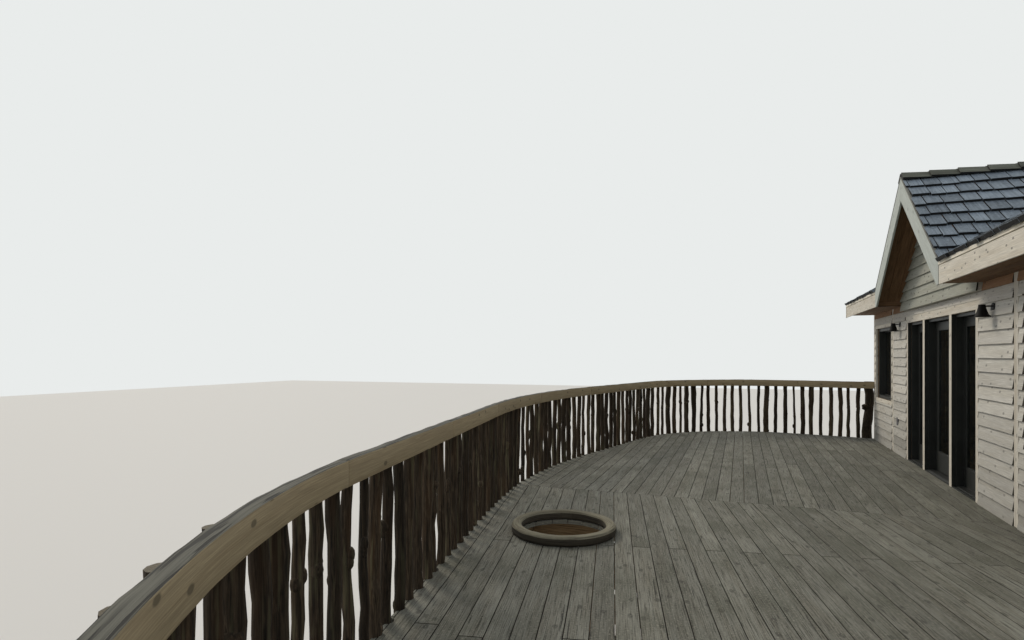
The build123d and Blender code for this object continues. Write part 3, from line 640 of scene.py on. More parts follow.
def bark_material(name, base):
    """Dry bark left on the poles: long furrows, red inner bark and a greenish weathered skin."""
    made, tree, shader = new_material(name)
    plain = own_place(tree)
    furrow = cloudy(tree, stretched(tree, plain, (85, 85, 3.5)), 1.0, 6.0, Roughness=0.65, Distortion=0.7)
    colour_now = ramped(tree, furrow, *[(at, shade(base, factor))
                                        for at, factor in ((0.36, 0.2), (0.5, 0.8), (0.72, 2.2))])
    patch = cloudy(tree, stretched(tree, plain, (16, 16, 2.2)), 1.0, 3.0)
    red = ramped(tree, patch, (0.52, 0.0), (0.68, 0.5))
    colour_now = mixed(tree, "MIX", red, colour_now, (*linear("45321f"), 1))
    skin = cloudy(tree, stretched(tree, plain, (30, 30, 1.6), Location=(3, 7, 1)), 1.0, 4.0)
    grey = ramped(tree, skin, (0.55, 0.0), (0.66, 0.6))
    colour_now = mixed(tree, "MIX", grey, colour_now, (*linear("646049"), 1))
    tone = add(tree, "SeparateXYZ", inputs={0: map_of(tree, "tone")}).outputs["X"]
    colour_now = mixed(tree, "MULTIPLY", 1.0, colour_now, ranged(tree, tone, 0.5, 1.35))
    surfaced(tree, shader, colour_now, 0.9, 0.25, furrow, 0.9, 0.006)
    return made


def coated(name, base, roughness, grit_mm=1.5, metallic=0.0, relief=0.15, dust=0.0, gloss=0.5):
    """Paint, powder coat or moulded plastic: an even colour with fine grit and a little dust."""
    made, tree, shader = new_material(name)
    plain = own_place(tree)
    cloud = cloudy(tree, plain, 6.0, 4.0)
    pale = [min(1, c * 1.4 + dust * 0.02) for c in base]
    grit = cloudy(tree, plain, 1000 / grit_mm, 2.0)
    shader.inputs["Metallic"].default_value = metallic
    surfaced(tree, shader, ramped(tree, cloud, (0.35, shade(base, 0.8)), (0.7, pale)),
             ranged(tree, cloud, roughness - 0.08, roughness + 0.14), gloss, grit, relief, 0.0004)
    return made


def glass_material(name):
    """Clear window glass with a faint green body and a little haze from dust."""
    made, tree, shader = new_material(name)
    haze = cloudy(tree, own_place(tree), 3.0, 3.0)
    put_in(tree, shader, {"Base Color": (*linear("dfe9e2"), 1), "Roughness": ranged(tree, haze, 0.0, 0.06),
                          "Transmission Weight": 1.0, "IOR": 1.5})
    return made


MATERIALS = {}


def make_materials():
    """Every finish of the object, named for what it is."""
    deck_pale, deck_dark = list(deck().colour_pale), list(deck().colour_dark)
    siding, trim = list(walls().colour_siding), list(walls().colour_trim)
    shakes, soffit = list(roof().colour_shake), list(roof().colour_soffit)
    rail, rail_top = list(railing().colour_rail), list(railing().colour_rail_top)
    bark, rake = list(railing().colour_bark), list(walls().colour_rake)
    framing = {"base": linear("8b7658"), "dark": linear("56442f"), "knots": 0.4, "spread": 0.12}
    lining = {"base": linear("8d6f4c"), "dark": linear("5b4228"), "checks": 0.1, "knots": 0.5,
              "spread": 0.12}
    sawn = {"relief": 0.4, "fibre_mm": 2.5}
    MATERIALS.update({
        # Pine decking greyed by rain: long checks, dark grain, green-brown stains
        "decking": timber("weathered_pine_decking", deck_pale, deck_dark, checks=0.85, knots=0.5,
                          spread=0.2, relief=0.7, stain=linear("45463a"), specks=linear("8f8d80")),
        # Sawn pine left bare: brown-grey face with fine grain and small knots
        "rail": timber("sawn_pine_handrail", rail, shade(rail, 0.7), checks=0.2, knots=0.85, spread=0.06,
                       relief=0.5, streaks=(0.8, 0.77, 0.74), knot_scale=1.3),
        # The same timber where rain stands on it: grey, split in long black checks
        "rail_top": timber("rain_checked_handrail_top", rail_top, shade(rail_top, 0.25), checks=1.0,
                           knots=0.2, spread=0.1, relief=1.0, fibre_mm=6.0, check_at=0.45),
        # Lapped cedar siding bleached to a pale grey-tan, browner and darker under the eave: fresher wood
        # with painted shade
        "siding": timber("bleached_cedar_siding", siding, shade(siding, 0.72), checks=0.25, knots=0.8,
                         spread=0.13, streaks=(0.86, 0.84, 0.8), fresh_and_shade=linear("bb9272"), knot_scale=1.35,
                         **sawn),
        # The same boards with painted shade from the gable: greener and a little darker
        "siding_gable": timber("shaded_gable_siding", [c * f for c, f in zip(siding, (0.6, 0.63, 0.59))],
                               shade(siding, 0.4), checks=0.25, knots=0.8, spread=0.1,
                               streaks=(0.86, 0.85, 0.8), knot_scale=1.35, **sawn),
        # Sawn ends of the boards and the deck boards' sides: end grain, darker in itself, deepened to near
        # black with painted shade
        "end_grain": timber("end_grain_painted_shade", linear("332e28"), linear("161310"), axis="X", checks=0.6,
                            knots=0.0, spread=0.3),
        # Rough-sawn trim of the same timber, a little paler
        "trim": timber("rough_sawn_trim", trim, shade(trim, 0.72), checks=0.2, knots=0.95, spread=0.08,
                       streaks=(0.84, 0.8, 0.75), knot_scale=1.7, **sawn),
        # Rakes of the gable: the same boards with a thin greenish wash
        "rake": timber("washed_rake_boards", rake, shade(rake, 0.8), checks=0.1, knots=0.5, spread=0.04,
                       relief=0.3, fibre_mm=2.5, streaks=(0.9, 0.9, 0.88)),
        # Starter strip over the fascia, the palest line on the eave
        "starter": timber("cream_starter_strip", linear("f4efe2"), linear("c9bfa8"), checks=0.1, knots=0.3,
                          spread=0.05, relief=0.3, streaks=(0.9, 0.86, 0.8)),
        # Lower ends and sides of the shakes and ridge boards, and the eave's black layers: nearly black,
        # painted shade under and between them
        "butts": timber("shake_butts_painted_shade", linear("242425"), linear("101011"), axis="Y", checks=0.4,
                        knots=0.0, spread=0.3),
        # Ridge boards, older and darker than the shakes
        "ridge": timber("olive_ridge_boards", linear("6a6e64"), linear("2c2d2c"), checks=0.5, knots=0.0,
                        spread=0.3, relief=0.6),
        # Thin layers of old boards under the first course at the eave
        "eave_layer": timber("olive_eave_layers", linear("575040"), linear("26221b"), checks=0.5, knots=0.0,
                             spread=0.3, relief=0.6),
        # Split shakes: slate blue-grey with soft streaks down the slope
        "shakes": timber("split_shakes", shakes, shade(shakes, 0.5), checks=0.3, knots=0.0, spread=0.26,
                         relief=0.7, fibre_mm=5.0, streaks=(0.68, 0.69, 0.72), specks=shade(shakes, 1.15),
                         speck_scale=24.0, stain=shade(shakes, 0.55)),
        # The same timber on the rake's edge, greyed by run-off
        "strip": timber("greyed_drip_strip", linear("8e8f89"), linear("5a5a54"), checks=0.3, knots=0.2,
                        spread=0.1),
        # Dark stained boards under the gable
        "soffit": timber("dark_stained_soffit", soffit, shade(soffit, 0.45), checks=0.2, knots=0.3,
                         spread=0.2, relief=0.4),
        # The roofs' own undersides, stained the same
        "soffit_x": timber("dark_stained_sheathing", soffit, shade(soffit, 0.45), axis="X", checks=0.2,
                           knots=0.2, spread=0.2),
        # Bark left on the poles
        "bark": bark_material("dry_bark", bark),
        # Peeled logs, honey brown gone grey
        "logs": timber("peeled_log", linear("8a7558"), linear("4f3d2a"), axis="Z", checks=0.8, knots=0.5,
                       spread=0.15, relief=0.8),
        # Sawn framing timber under the deck
        "framing_x": timber("sawn_framing_along_x", axis="X", **framing),
        "framing_y": timber("sawn_framing_along_y", axis="Y", **framing),
        "framing": timber("sawn_framing_bent", **framing),
        # Inside lining and floor, brown boards
        "lining": timber("inside_lining", axis="X", **lining),
        "lining_y": timber("inside_lining_ends", axis="Y", **lining),
        # Pale sawn tops of the poles
        "pole_tops": timber("sawn_pole_tops", linear("6f695b"), linear("3d372b"), axis="Z", checks=0.4,
                            knots=0.0, spread=0.1),
        # Curb of bent boards round the trunk, greyed like the deck
        "curb": timber("weathered_curb", linear("85816f"), linear("4a463a"), checks=0.5, knots=0.1,
                       spread=0.05, relief=0.6),
        # The curb's sides, darker than its top: painted shade
        "curb_side": timber("curb_side_painted_shade", linear("423d33"), linear("1f1c17"), checks=0.5, knots=0.1,
                            spread=0.05, relief=0.6),
        # Frosted lamp bulb
        "bulb": coated("frosted_bulb", linear("e8e4da"), 0.3, relief=0.02),
        # Satin paint on the door and window frames, almost black with a green cast
        "frames": coated("dark_green_satin_paint", linear("121512"), 0.5, dust=0.1),
        # Powder coated lamp and handle
        "iron": coated("black_powder_coat", linear("0d0b0b"), 0.6, grit_mm=1.0, relief=0.35, gloss=0.15),
        # Moulded grey cover of the outlet
        "plastic": coated("grey_moulded_cover", linear("5c5c60"), 0.5, grit_mm=2.0),
        # Zinc plated hinges
        "steel": coated("zinc_plated_steel", linear("9b9c9e"), 0.3, metallic=1.0),
        # Window glass
        "glass": glass_material("window_glass_clear"),
    })


# Pieces

class TREEHOUSE_OT_stage(bpy.types.Operator):
    """Set up the camera, the plain floor and soft lights"""
    bl_idname = "treehouse.stage"
    bl_label = "Camera, floor and lights"

    def execute(self, context):
        lens = bpy.data.cameras.new("camera")
        lens.lens = 21.09
        lens.sensor_width = 36
        lens.shift_y = 0.0347
        lens.clip_end = 500
        camera = bpy.data.objects.new("camera", lens)
        camera.location = (9.335, -2.40, deck().level + 1.6)
        camera.rotation_euler = (math.pi / 2, 0, math.radians(110.9))
        context.scene.collection.objects.link(camera)
        context.scene.camera = camera

        bpy.ops.mesh.primitive_plane_add(size=160, location=(0, 0, -0.001))
        floor = context.object
        floor.name = "floor"
        settings = context.scene.tree_house_stage
        made, tree, shader = new_material("plain_floor")
        put_in(tree, shader, {"Base Color": (*settings.colour_floor, 1), "Roughness": 0.9})
        floor.data.materials.append(made)
        settled(floor)

        world = bpy.data.worlds.new("plain_sky")
        context.scene.world = world
        world.use_nodes = True
        tree = world.node_tree
        tree.nodes.clear()
        path = add(tree, "LightPath").outputs
        seen = calculated(tree, "MAXIMUM", path["Is Camera Ray"], path["Is Glossy Ray"])
        seen = calculated(tree, "MAXIMUM", seen, path["Is Transmission Ray"])
        backdrop = add(tree, "Background", inputs={"Color": (*settings.colour_sky, 1), "Strength": 1.0})
        soft = add(tree, "Background", inputs={"Color": (*linear("f4f6f8"), 1), "Strength": 0.62})
        both = add(tree, "MixShader", inputs={0: seen, 1: soft.outputs[0], 2: backdrop.outputs[0]})
        add(tree, "OutputWorld", inputs={"Surface": both.outputs[0]})

        sun = bpy.data.lights.new("window_sun", "SUN")
        sun.energy = 1.5
        sun.angle = math.radians(18)
        sun.color = linear("fff4e2")
        lamp = bpy.data.objects.new("window_sun", sun)
        lamp.rotation_euler = Vector((0.55, 0.75, -0.75)).to_track_quat("-Z", "Y").to_euler()
        context.scene.collection.objects.link(lamp)
        context.scene.view_settings.view_transform = "Standard"
        return {"FINISHED"}


def outline_prism(name, points, bottom, top):
    """A flat outline drawn point by point, then extruded up."""
    mesh = bpy.data.meshes.new(name)
    mesh.from_pydata([(x, y, bottom) for x, y in points], [], [range(len(points))])
    prism = bpy.data.objects.new(name, mesh)
    bpy.context.scene.collection.objects.link(prism)
    with editing(prism):
        bpy.ops.mesh.extrude_region_move(TRANSFORM_OT_translate={"value": (0, 0, top - bottom)})
        turn_outward()
    return prism


def islands(node):
    """Boxes of a CAD node's separate solids, as (low, high) corners."""
    parts = separated(solid_copy(node, "loose"))
    boxes = []
    for part in parts:
        points = np.array([v.co for v in part.data.vertices])
        boxes.append((Vector(points.min(0)), Vector(points.max(0))))
    removed(*parts)
    return sorted(boxes, key=lambda box: tuple(box[0]))


BAYS = [f"balusters_{number}" for number in range(1, 12)]
POLES = {}


def pole_boxes():
    """The box of every pole of the railing, by node."""
    if not POLES:
        for node in (*BAYS, "end_posts"):
            POLES[node] = islands(node)
    return POLES


# Steps of the deck's outline, the gap where boards butt, and the room round a pole
OUTLINE_STEPS = 400
BUTT_GAP = 0.006
POLE_ROOM = 0.007
# The far boards run along X over this length and depth, with one joint, staggered row by row
FAR_REACH = 5.2
FAR_JOINT, FAR_STAGGER = 3.1, 1.9
# The near boards are turned by this angle, and every second row has its joints elsewhere
NEAR_TURN = math.radians(11.4)
NEAR_ROWS = range(-46, 16)
NEAR_BACK, NEAR_REACH = 1.4, 11.2
NEAR_JOINTS = ((2.63, 6.29), (4.46, 8.1))


class TREEHOUSE_OT_deck(bpy.types.Operator):
    """Lay the deck's boards in two directions and trim them round the poles and the trunk"""
    bl_idname = "treehouse.deck"
    bl_label = "Deck boards"

    def execute(self, context):
        settings = deck()
        top, pitch = settings.level, settings.board_w + settings.gap
        chance = random.Random(3)
        model = model_board("decking", settings.board_w, settings.board_t, 0.0035, 2, shaded_edges=True)
        outline = []
        for step in range(OUTLINE_STEPS + 1):
            point, heading = edge_place(EDGE_LENGTH * step / OUTLINE_STEPS)
            outline.append((point.x + heading.y * settings.lobe, point.y - heading.x * settings.lobe))
        outline[0] = (outline[0][0], 0)
        outline[-1] = (CABIN_HALF, outline[-1][1])
        outline.append((CABIN_HALF, 0))
        prism = grain_map(outline_prism("deck_outline", outline, top - 0.1, top + 0.1))
        holes = []
        poles = [(14, (high.x - low.x) / 2 + POLE_ROOM, ((low + high) / 2)[:2])
                 for boxes in pole_boxes().values() for low, high in boxes]
        for sides, radius, middle in (*poles, (72, settings.hole_r, TREE)):
            bpy.ops.mesh.primitive_cylinder_add(
                vertices=sides, radius=radius, depth=0.2, location=(*middle, top))
            holes.append(settled(context.object))
        holes = grain_map(joined("deck_holes", holes))

        def board_row(origin, heading, across, y, joints, reach):
            """One line of boards, cut at its joints."""
            pieces = []
            drop = chance.uniform(0, 0.0015)
            ends = [-0.05, *joints, reach]
            for a, b in zip(ends, ends[1:]):
                middle = origin + heading * ((a + b) / 2) + across * y
                place = frame_at((middle.x, middle.y, top - drop), (*heading, 0), (0, 0, 1))
                pieces.append(cut_to(model, b - a - BUTT_GAP, place, chance))
            return pieces

        far, near = [], []
        heading, across = Vector((1, 0)), Vector((0, 1))
        origin = Vector((-FAR_REACH, 0))
        for row in range(math.ceil(FAR_REACH / pitch)):
            joint = FAR_JOINT + (row % 2) * FAR_STAGGER + chance.uniform(-0.25, 0.25)
            far += board_row(origin, heading, across, -pitch * (row + 0.5), [joint],
                             FAR_REACH + settings.seam_x)
        heading = Vector((math.cos(NEAR_TURN), math.sin(NEAR_TURN)))
        across = Vector((-heading.y, heading.x))
        origin = Vector((settings.seam_x - NEAR_BACK, 0))
        for row in NEAR_ROWS:
            joints = list(NEAR_JOINTS[row % 2])
            if row % 2:
                joints[0] += chance.uniform(-0.3, 0.3)
            near += board_row(origin, heading, across, pitch * (row + 0.5), joints, NEAR_REACH)
        far = joined("deck_boards_far", far)
        near = joined("deck_boards_near", near)
        trimmed(far, (settings.seam_x - 0.003, 0, 0), (1, 0, 0))
        trimmed(near, (settings.seam_x + 0.003, 0, 0), (-1, 0, 0))
        for piece, node in ((far, "deck_far"), (near, "deck_near")):
            modified(piece, "BOOLEAN", operation="INTERSECT", object=prism, solver="EXACT")
            modified(piece, "BOOLEAN", operation="DIFFERENCE", object=holes, solver="EXACT")
            dressed(piece, node_names=(node,))
        removed(prism, holes, model)
        return {"FINISHED"}


# How far a pole swings back at each ring, and how wide its rings are
STRAIGHTEN = 0.35
RING_WIDTHS = (0.91, 1.09)
# A knot's middle and half sizes, in widths and heights of the pole
KNOT_OUT = 0.2
KNOT_SIZE = (0.41, 0.41, 0.035)


def pole_model(index, sides=10, steps=11, crook=0.11):
    """A crooked pole, one unit across and one high, drawn up ring by ring."""
    chance = random.Random(100 + index)
    bpy.ops.mesh.primitive_circle_add(vertices=sides, radius=0.5, fill_type="NGON", location=(0, 0, 0))
    pole = bpy.context.object
    across = Vector((0, 0))
    with editing(pole):
        for step in range(steps):
            lean = Vector((chance.uniform(-1, 1), chance.uniform(-1, 1))) * crook - across * STRAIGHTEN
            across += lean
            bpy.ops.mesh.extrude_region_move(TRANSFORM_OT_translate={"value": (lean.x, lean.y, 1 / steps)})
            wide = chance.uniform(*RING_WIDTHS)
            bpy.ops.transform.resize(
                value=(wide, wide, 1), center_override=(across.x, across.y, (step + 1) / steps))
        turn_outward()
    knots = []
    for _ in range(chance.randint(1, 3)):
        turn, height = chance.uniform(0, math.tau), chance.uniform(0.15, 0.8)
        bpy.ops.mesh.primitive_ico_sphere_add(
            subdivisions=2, radius=1, location=(KNOT_OUT * math.cos(turn), KNOT_OUT * math.sin(turn), height))
        knot = bpy.context.object
        knot.scale = KNOT_SIZE
        knots.append(settled(knot))
    pole = joined("pole", [*knots, pole])
    smooth(pole, 50)
    return grain_map(pole, along=(0, 0, 1))


def pole_copy(model, low, high, chance, grow=1.0):
    """A pole stood in the box of its CAD solid."""
    wide = min(high.x - low.x, high.y - low.y) * grow
    middle = (low + high) / 2
    place = (Matrix.Translation((middle.x, middle.y, low.z))
             @ Matrix.Rotation(chance.uniform(0, math.tau), 4, "Z")
             @ Matrix.Diagonal((wide, wide, high.z - low.z, 1)))
    pole = model.copy()
    pole.data = model.data.copy()
    pole.data.transform(place)
    corners = len(pole.data.loops)
    tones = np.tile(np.array([chance.random(), 0], np.float32), corners)
    pole.data.uv_layers["tone"].data.foreach_set("uv", tones)
    bpy.context.scene.collection.objects.link(pole)
    return pole


def held_in_box(piece):
    """Press a piece's outermost points back inside the object's box."""
    low, high = CAD_BOX
    for vertex in piece.data.vertices:
        for axis in range(3):
            vertex.co[axis] = min(max(vertex.co[axis], low[axis]), high[axis])
    return piece


class TREEHOUSE_OT_railing(bpy.types.Operator):
    """Stand the bark-covered poles round the deck and bend the handrail along them"""
    bl_idname = "treehouse.railing"
    bl_label = "Railing"

    def execute(self, context):
        settings, top = railing(), deck().level
        chance = random.Random(5)
        models = [pole_model(index) for index in range(7)]
        rail_top = top + settings.rail_top_z
        bays = pole_boxes()
        every = [box for node in BAYS for box in bays[node]]
        proud = {}
        for x, y, z in PROUD_POLES:
            near = min(every, key=lambda box: math.dist(((box[0] + box[1]) / 2)[:2], (x, y)))
            proud[tuple(near[0])] = top + z
        for node, boxes in bays.items():
            poles = []
            for low, high in boxes:
                if node in BAYS:
                    usual = min(high.z, rail_top - POLE_DROP)
                    high = Vector((high.x, high.y, proud.get(tuple(low), usual)))
                poles.append(pole_copy(chance.choice(models), low, high, chance, 1.03))
            piece = held_in_box(joined(f"poles_{node.split('_')[-1]}", poles))
            dressed(piece, "bark", node_names=(node,))
            finish_faces(piece, "pole_tops", lambda normal, at: abs(normal.z) > 0.85)
        rail = bent_boards("handrail_boards", 0, settings.rail_w, rail_top - settings.rail_h, rail_top, 0.006,
                           chance, wobble=0.003, late=LATE_BY)
        dressed(held_in_box(rail), "rail", node_names=("handrail",))
        finish_faces(rail, "rail_top", lambda normal, at: normal.z > 0.45)
        removed(*models)
        return {"FINISHED"}


class TREEHOUSE_OT_framing(bpy.types.Operator):
    """Bend the rim boards, stand crooked log posts and finish the framing"""
    bl_idname = "treehouse.framing"
    bl_label = "Framing under the deck"

    def execute(self, context):
        chance = random.Random(9)
        low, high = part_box("rim_joist")
        rim = bent_boards("rim_band", 0, 0.045, low.z, high.z, 0.003, chance)
        dressed(rim, "framing", node_names=("rim_joist",))
        painted("framing_y", "deck_joists", "cabin_joists")
        painted("framing_x", "tree_hole_headers", "deck_beam", "cabin_beams", "cabin_rim_boards",
                "rim_beam")
        models = [pole_model(index + 20, sides=20, steps=10, crook=0.04) for index in range(3)]
        logs = [pole_copy(chance.choice(models), *box, chance) for box in islands("log_posts")]
        dressed(joined("log_posts_peeled", logs), "logs", node_names=("log_posts",))
        removed(*models)
        return {"FINISHED"}


class TREEHOUSE_OT_collar(bpy.types.Operator):
    """Spin the round curb where the trunk passes through the deck"""
    bl_idname = "treehouse.collar"
    bl_label = "Trunk collar"

    def execute(self, context):
        low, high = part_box("tree_collar")
        inner, outer = deck().hole_r, (high.x - low.x) / 2
        height = high.z - low.z - COLLAR_DROP
        bpy.ops.mesh.primitive_plane_add(
            size=1, location=((inner + outer) / 2, 0, height / 2), rotation=(math.pi / 2, 0, 0))
        profile = context.object
        profile.name = "collar_bent_boards"
        profile.scale = (outer - inner, height, 1)
        settled(profile)
        for vertex in profile.data.vertices:
            vertex.select = vertex.co.z > height / 2
        bpy.ops.object.mode_set(mode="EDIT")
        bpy.ops.mesh.bevel(offset=0.03, segments=5, affect="VERTICES")
        bpy.ops.mesh.select_all(action="SELECT")
        bpy.ops.mesh.delete(type="ONLY_FACE")
        bpy.ops.mesh.select_all(action="SELECT")
        bpy.ops.mesh.spin(steps=96, angle=math.tau, center=(0, 0, 0), axis=(0, 0, 1))
        bpy.ops.mesh.select_all(action="SELECT")
        bpy.ops.mesh.remove_doubles(threshold=0.0002)
        bpy.ops.mesh.normals_make_consistent(inside=False)
        bpy.ops.object.mode_set(mode="OBJECT")
        mesh = profile.data
        grain, tones = grain_layers(mesh)
        for face in mesh.polygons:
            turns = [math.atan2(mesh.vertices[i].co.y, mesh.vertices[i].co.x) for i in face.vertices]
            if max(turns) - min(turns) > math.pi:
                turns = [t + math.tau if t < 0 else t for t in turns]
            for corner, index, turn in zip(face.loop_indices, face.vertices, turns):
                point = mesh.vertices[index].co
                across = math.hypot(point.x, point.y) + point.z
                grain[corner].uv = (turn * outer, across)
                tones[corner].uv = (0.5, 0.5)
        for vertex in mesh.vertices:
            drift = noise.noise_vector(vertex.co * 5) * 0.005
            vertex.co += Vector((drift.x, drift.y, -abs(drift.z)))
        mesh.transform(Matrix.Translation((*TREE, low.z)))
        smooth(profile, 50)
        dressed(profile, "curb", node_names=("tree_collar",))
        # The curb's sides take the darker finish as painted shade
        finish_faces(profile, "curb_side", lambda normal, at: normal.z < 0.35)
        return {"FINISHED"}


# Walls: lapped boards fitted round openings and trim

DOOR_HEAD = 2.1
ROOF_SLOPE = math.tan(math.radians(29.5))
EAVE_Y, EAVE_Z, RIDGE_Y = -0.41, 2.62, 2.6
ROOF_HALF = 4.465
GABLE_HALF, GABLE_RISE = 1.63, 1.35
GABLE_SLOPE = GABLE_RISE / GABLE_HALF
ROOF_T, SOFFIT_T, FASCIA_T = 0.11, 0.018, 0.025
FASCIA_LOW = EAVE_Z - 0.25
BACK_EAVE_Y = 2 * RIDGE_Y - EAVE_Y
# The fascia stands back under the starter strip, whose worn edge dips this much
FASCIA_SET_BACK, FASCIA_DROP = 0.006, 0.046
STARTER_H, STARTER_STEP, STARTER_WEAR = 0.04, 0.05, 0.012
MAIN_DROP = ROOF_T * math.hypot(1, ROOF_SLOPE)
GABLE_DROP = (ROOF_T + SOFFIT_T) * math.hypot(1, GABLE_SLOPE)
CASING_W, TRIM_PROUD, CLADDING, FRAME_Y = 0.06, 0.012, 0.024, 0.036
DOOR_HALF, DOOR_CASING_W, DOOR_HEAD_W, DOOR_EAR = 1.42, 0.08, 0.1, 0.05
POST_INNER, POST_OUTER = 0.5265, 0.6185
HEADER_LOW, HEADER_PROUD = 2.288, 0.05
# Siding boards go darker towards the bottom below this height, by this much of their tone
DARKER_BELOW_Z, DARKER_BELOW_BY = 0.95, 1.5
CORNER_W = 0.097
# Widths and tops of the siding, and the height from which it is fresher and carries painted eave shade
SIDING_W, SIDING_TOP, GABLE_TOP, ENDS_TOP, FRESH_AND_SHADE_Z = 0.165, 2.74, 3.85, 4.35, 2.14
# Siding boards are at most this long, and are cut at random between these lengths
LONGEST, CUT_LENGTHS = 4.6, (2.2, 4.2)


def free_spans(low, high, stops):
    """What is left of a span beside the stops on it."""
    spans = [(low, high)]
    for a, b in stops:
        spans = [part for x0, x1 in spans for part in ((x0, min(x1, a)), (max(x0, b), x1))]
        spans = [part for part in spans if part[1] - part[0] > 0.01]
    return spans


def lapped(model, chance, origin, along, outward, span, start, top, holes, fresh_and_shade_z=9.0):
    """Lapped boards over a wall. Holes are (from, to, low, high) boxes that the boards stop at.

    Boards that start over fresh_and_shade_z are browner: younger wood, darkened with painted shade from the
    eave.
    """
    settings = walls()
    lean = (settings.proud - 0.003) / settings.exposure
    boards = []
    for row in range(math.ceil((top - start) / settings.exposure)):
        z0 = start + row * settings.exposure
        z1 = z0 + settings.exposure + settings.lap
        levels = {z0, z1}
        for hole in holes:
            levels.update(z for z in hole[2:] if z0 < z < z1)
        levels = sorted(levels)
        for low, high in zip(levels, levels[1:]):
            if high - low < 0.012:
                continue
            stops = [(a - settings.gap, b + settings.gap) for a, b, foot, head in holes
                     if foot < high - 0.001 and head > low + 0.001]
            for a, b in free_spans(*span, stops):
                cuts = [a]
                while b - cuts[-1] > LONGEST:
                    cuts.append(cuts[-1] + chance.uniform(*CUT_LENGTHS))
                for left, right in zip(cuts, [*cuts[1:], b]):
                    middle = (low + high) / 2
                    out = settings.proud - lean * (middle - z0)
                    place = frame_at(origin + along * ((left + right) / 2) + outward * out
                                     + Z_AXIS * (deck().level + middle), along, outward + Z_AXIS * lean)
                    boards.append(cut_to(model, right - left - 0.0015, place, chance,
                                         width=(high - low) * math.hypot(1, lean),
                                         fresh_and_shade_share=min(1, max(0, (z0 - fresh_and_shade_z) / 0.1)),
                                         darker=DARKER_BELOW_BY * max(0, 1 - z0 / DARKER_BELOW_Z)))
    return boards


def main_under(side, drop=MAIN_DROP):
    """A point and an upward normal on the underside of the front (-1) or back (1) slope."""
    y = EAVE_Y if side < 0 else BACK_EAVE_Y
    return Vector((0, y, deck().level + EAVE_Z - drop)), Vector((0, side * ROOF_SLOPE, 1)).normalized()


def gable_under(side, drop=GABLE_DROP):
    """A point and an upward normal on the underside of a gable slope."""
    point = Vector((side * GABLE_HALF, 0, deck().level + EAVE_Z - drop))
    return point, Vector((side * GABLE_SLOPE, 0, 1)).normalized()


def holes_of(boxes, along):
    """The spaces that boxes take in a wall, as (from, to, low, high)."""
    holes = []
    for low, high in boxes:
        a, b = sorted((low.dot(along), high.dot(along)))
        holes.append((a, b, low.z - deck().level, high.z - deck().level))
    return holes


def casings_by_wall():
    """The boxes of the window casings on each wall."""
    boxes = islands("window_casings")
    return {"front": [box for box in boxes if box[0].y < 0],
            "back": [box for box in boxes if box[1].y > CABIN_DEPTH],
            "left": [box for box in boxes if box[0].x < -CABIN_HALF],
            "right": [box for box in boxes if box[1].x > CABIN_HALF]}


class TREEHOUSE_OT_siding(bpy.types.Operator):
    """Lap the boards over all four walls and the gable"""
    bl_idname = "treehouse.siding"
    bl_label = "Lapped siding"

    def execute(self, context):
        chance = random.Random(21)
        model = model_board("siding", SIDING_W, walls().board_t, 0.0015)
        inner = CABIN_HALF - CORNER_W
        casings = casings_by_wall()
        door = DOOR_HALF + DOOR_CASING_W
        head = door + DOOR_EAR
        holes = [(-door, door, 0, DOOR_HEAD), (-head, head, DOOR_HEAD, DOOR_HEAD + DOOR_HEAD_W),
                 (-GABLE_HALF, GABLE_HALF, HEADER_LOW, 6),
                 *holes_of([*islands("wall_battens"), *casings["front"]], X_AXIS)]
        front = joined("siding_front", lapped(
            model, chance, Vector(), X_AXIS, -Y_AXIS, (-inner, inner), 0, SIDING_TOP, holes, FRESH_AND_SHADE_Z))
        trimmed(front, *main_under(-1))
        # The gable's boards take the siding copy with painted shade
        shaded = model_board("siding_gable", SIDING_W, walls().board_t, 0.0015)
        gable = joined("siding_gable", lapped(
            shaded, chance, Vector((0, -HEADER_PROUD, 0)), X_AXIS, -Y_AXIS, (-GABLE_HALF, GABLE_HALF),
            HEADER_LOW, GABLE_TOP, []))
        for side in (-1, 1):
            trimmed(gable, *gable_under(side))
        back = joined("siding_back", lapped(
            model, chance, Vector((0, CABIN_DEPTH, 0)), -X_AXIS, Y_AXIS, (-inner, inner), 0, SIDING_TOP,
            holes_of(casings["back"], -X_AXIS)))
        trimmed(back, *main_under(1))
        pieces = [front, gable, back]
        for side, name in ((-1, "left"), (1, "right")):
            corner = CORNER_W + CLADDING
            span = sorted((side * corner, side * (CABIN_DEPTH - corner)))
            end = joined(f"siding_{name}", lapped(
                model, chance, X_AXIS * side * CABIN_HALF, Y_AXIS * side, X_AXIS * side, span, 0, ENDS_TOP,
                holes_of(casings[name], Y_AXIS * side)))
            for slope in (-1, 1):
                trimmed(end, *main_under(slope))
            pieces.append(end)
        for piece in pieces:
            dressed(piece)
        removed(model, shaded)
        top = deck().level
        header = new_box("gable_furring", (-GABLE_HALF, -HEADER_PROUD + 0.002, top + HEADER_LOW + 0.004),
                         (GABLE_HALF, CLADDING, top + GABLE_TOP))
        for side in (-1, 1):
            trimmed(header, *gable_under(side))
        dressed(grain_map(softened(header, 0.002)), "siding")
        painted("lining", "front_wall_left", "front_wall_right", "front_gable_wall", "back_wall",
                "cabin_floor")
        painted("lining_y", "left_wall", "right_wall")
        return {"FINISHED"}


def board_between(name, low, high, along, chance, round_off=0.003):
    """One board as a softened box with its grain along it."""
    return own_grain(softened(new_box(name, low, high), round_off), along, chance)


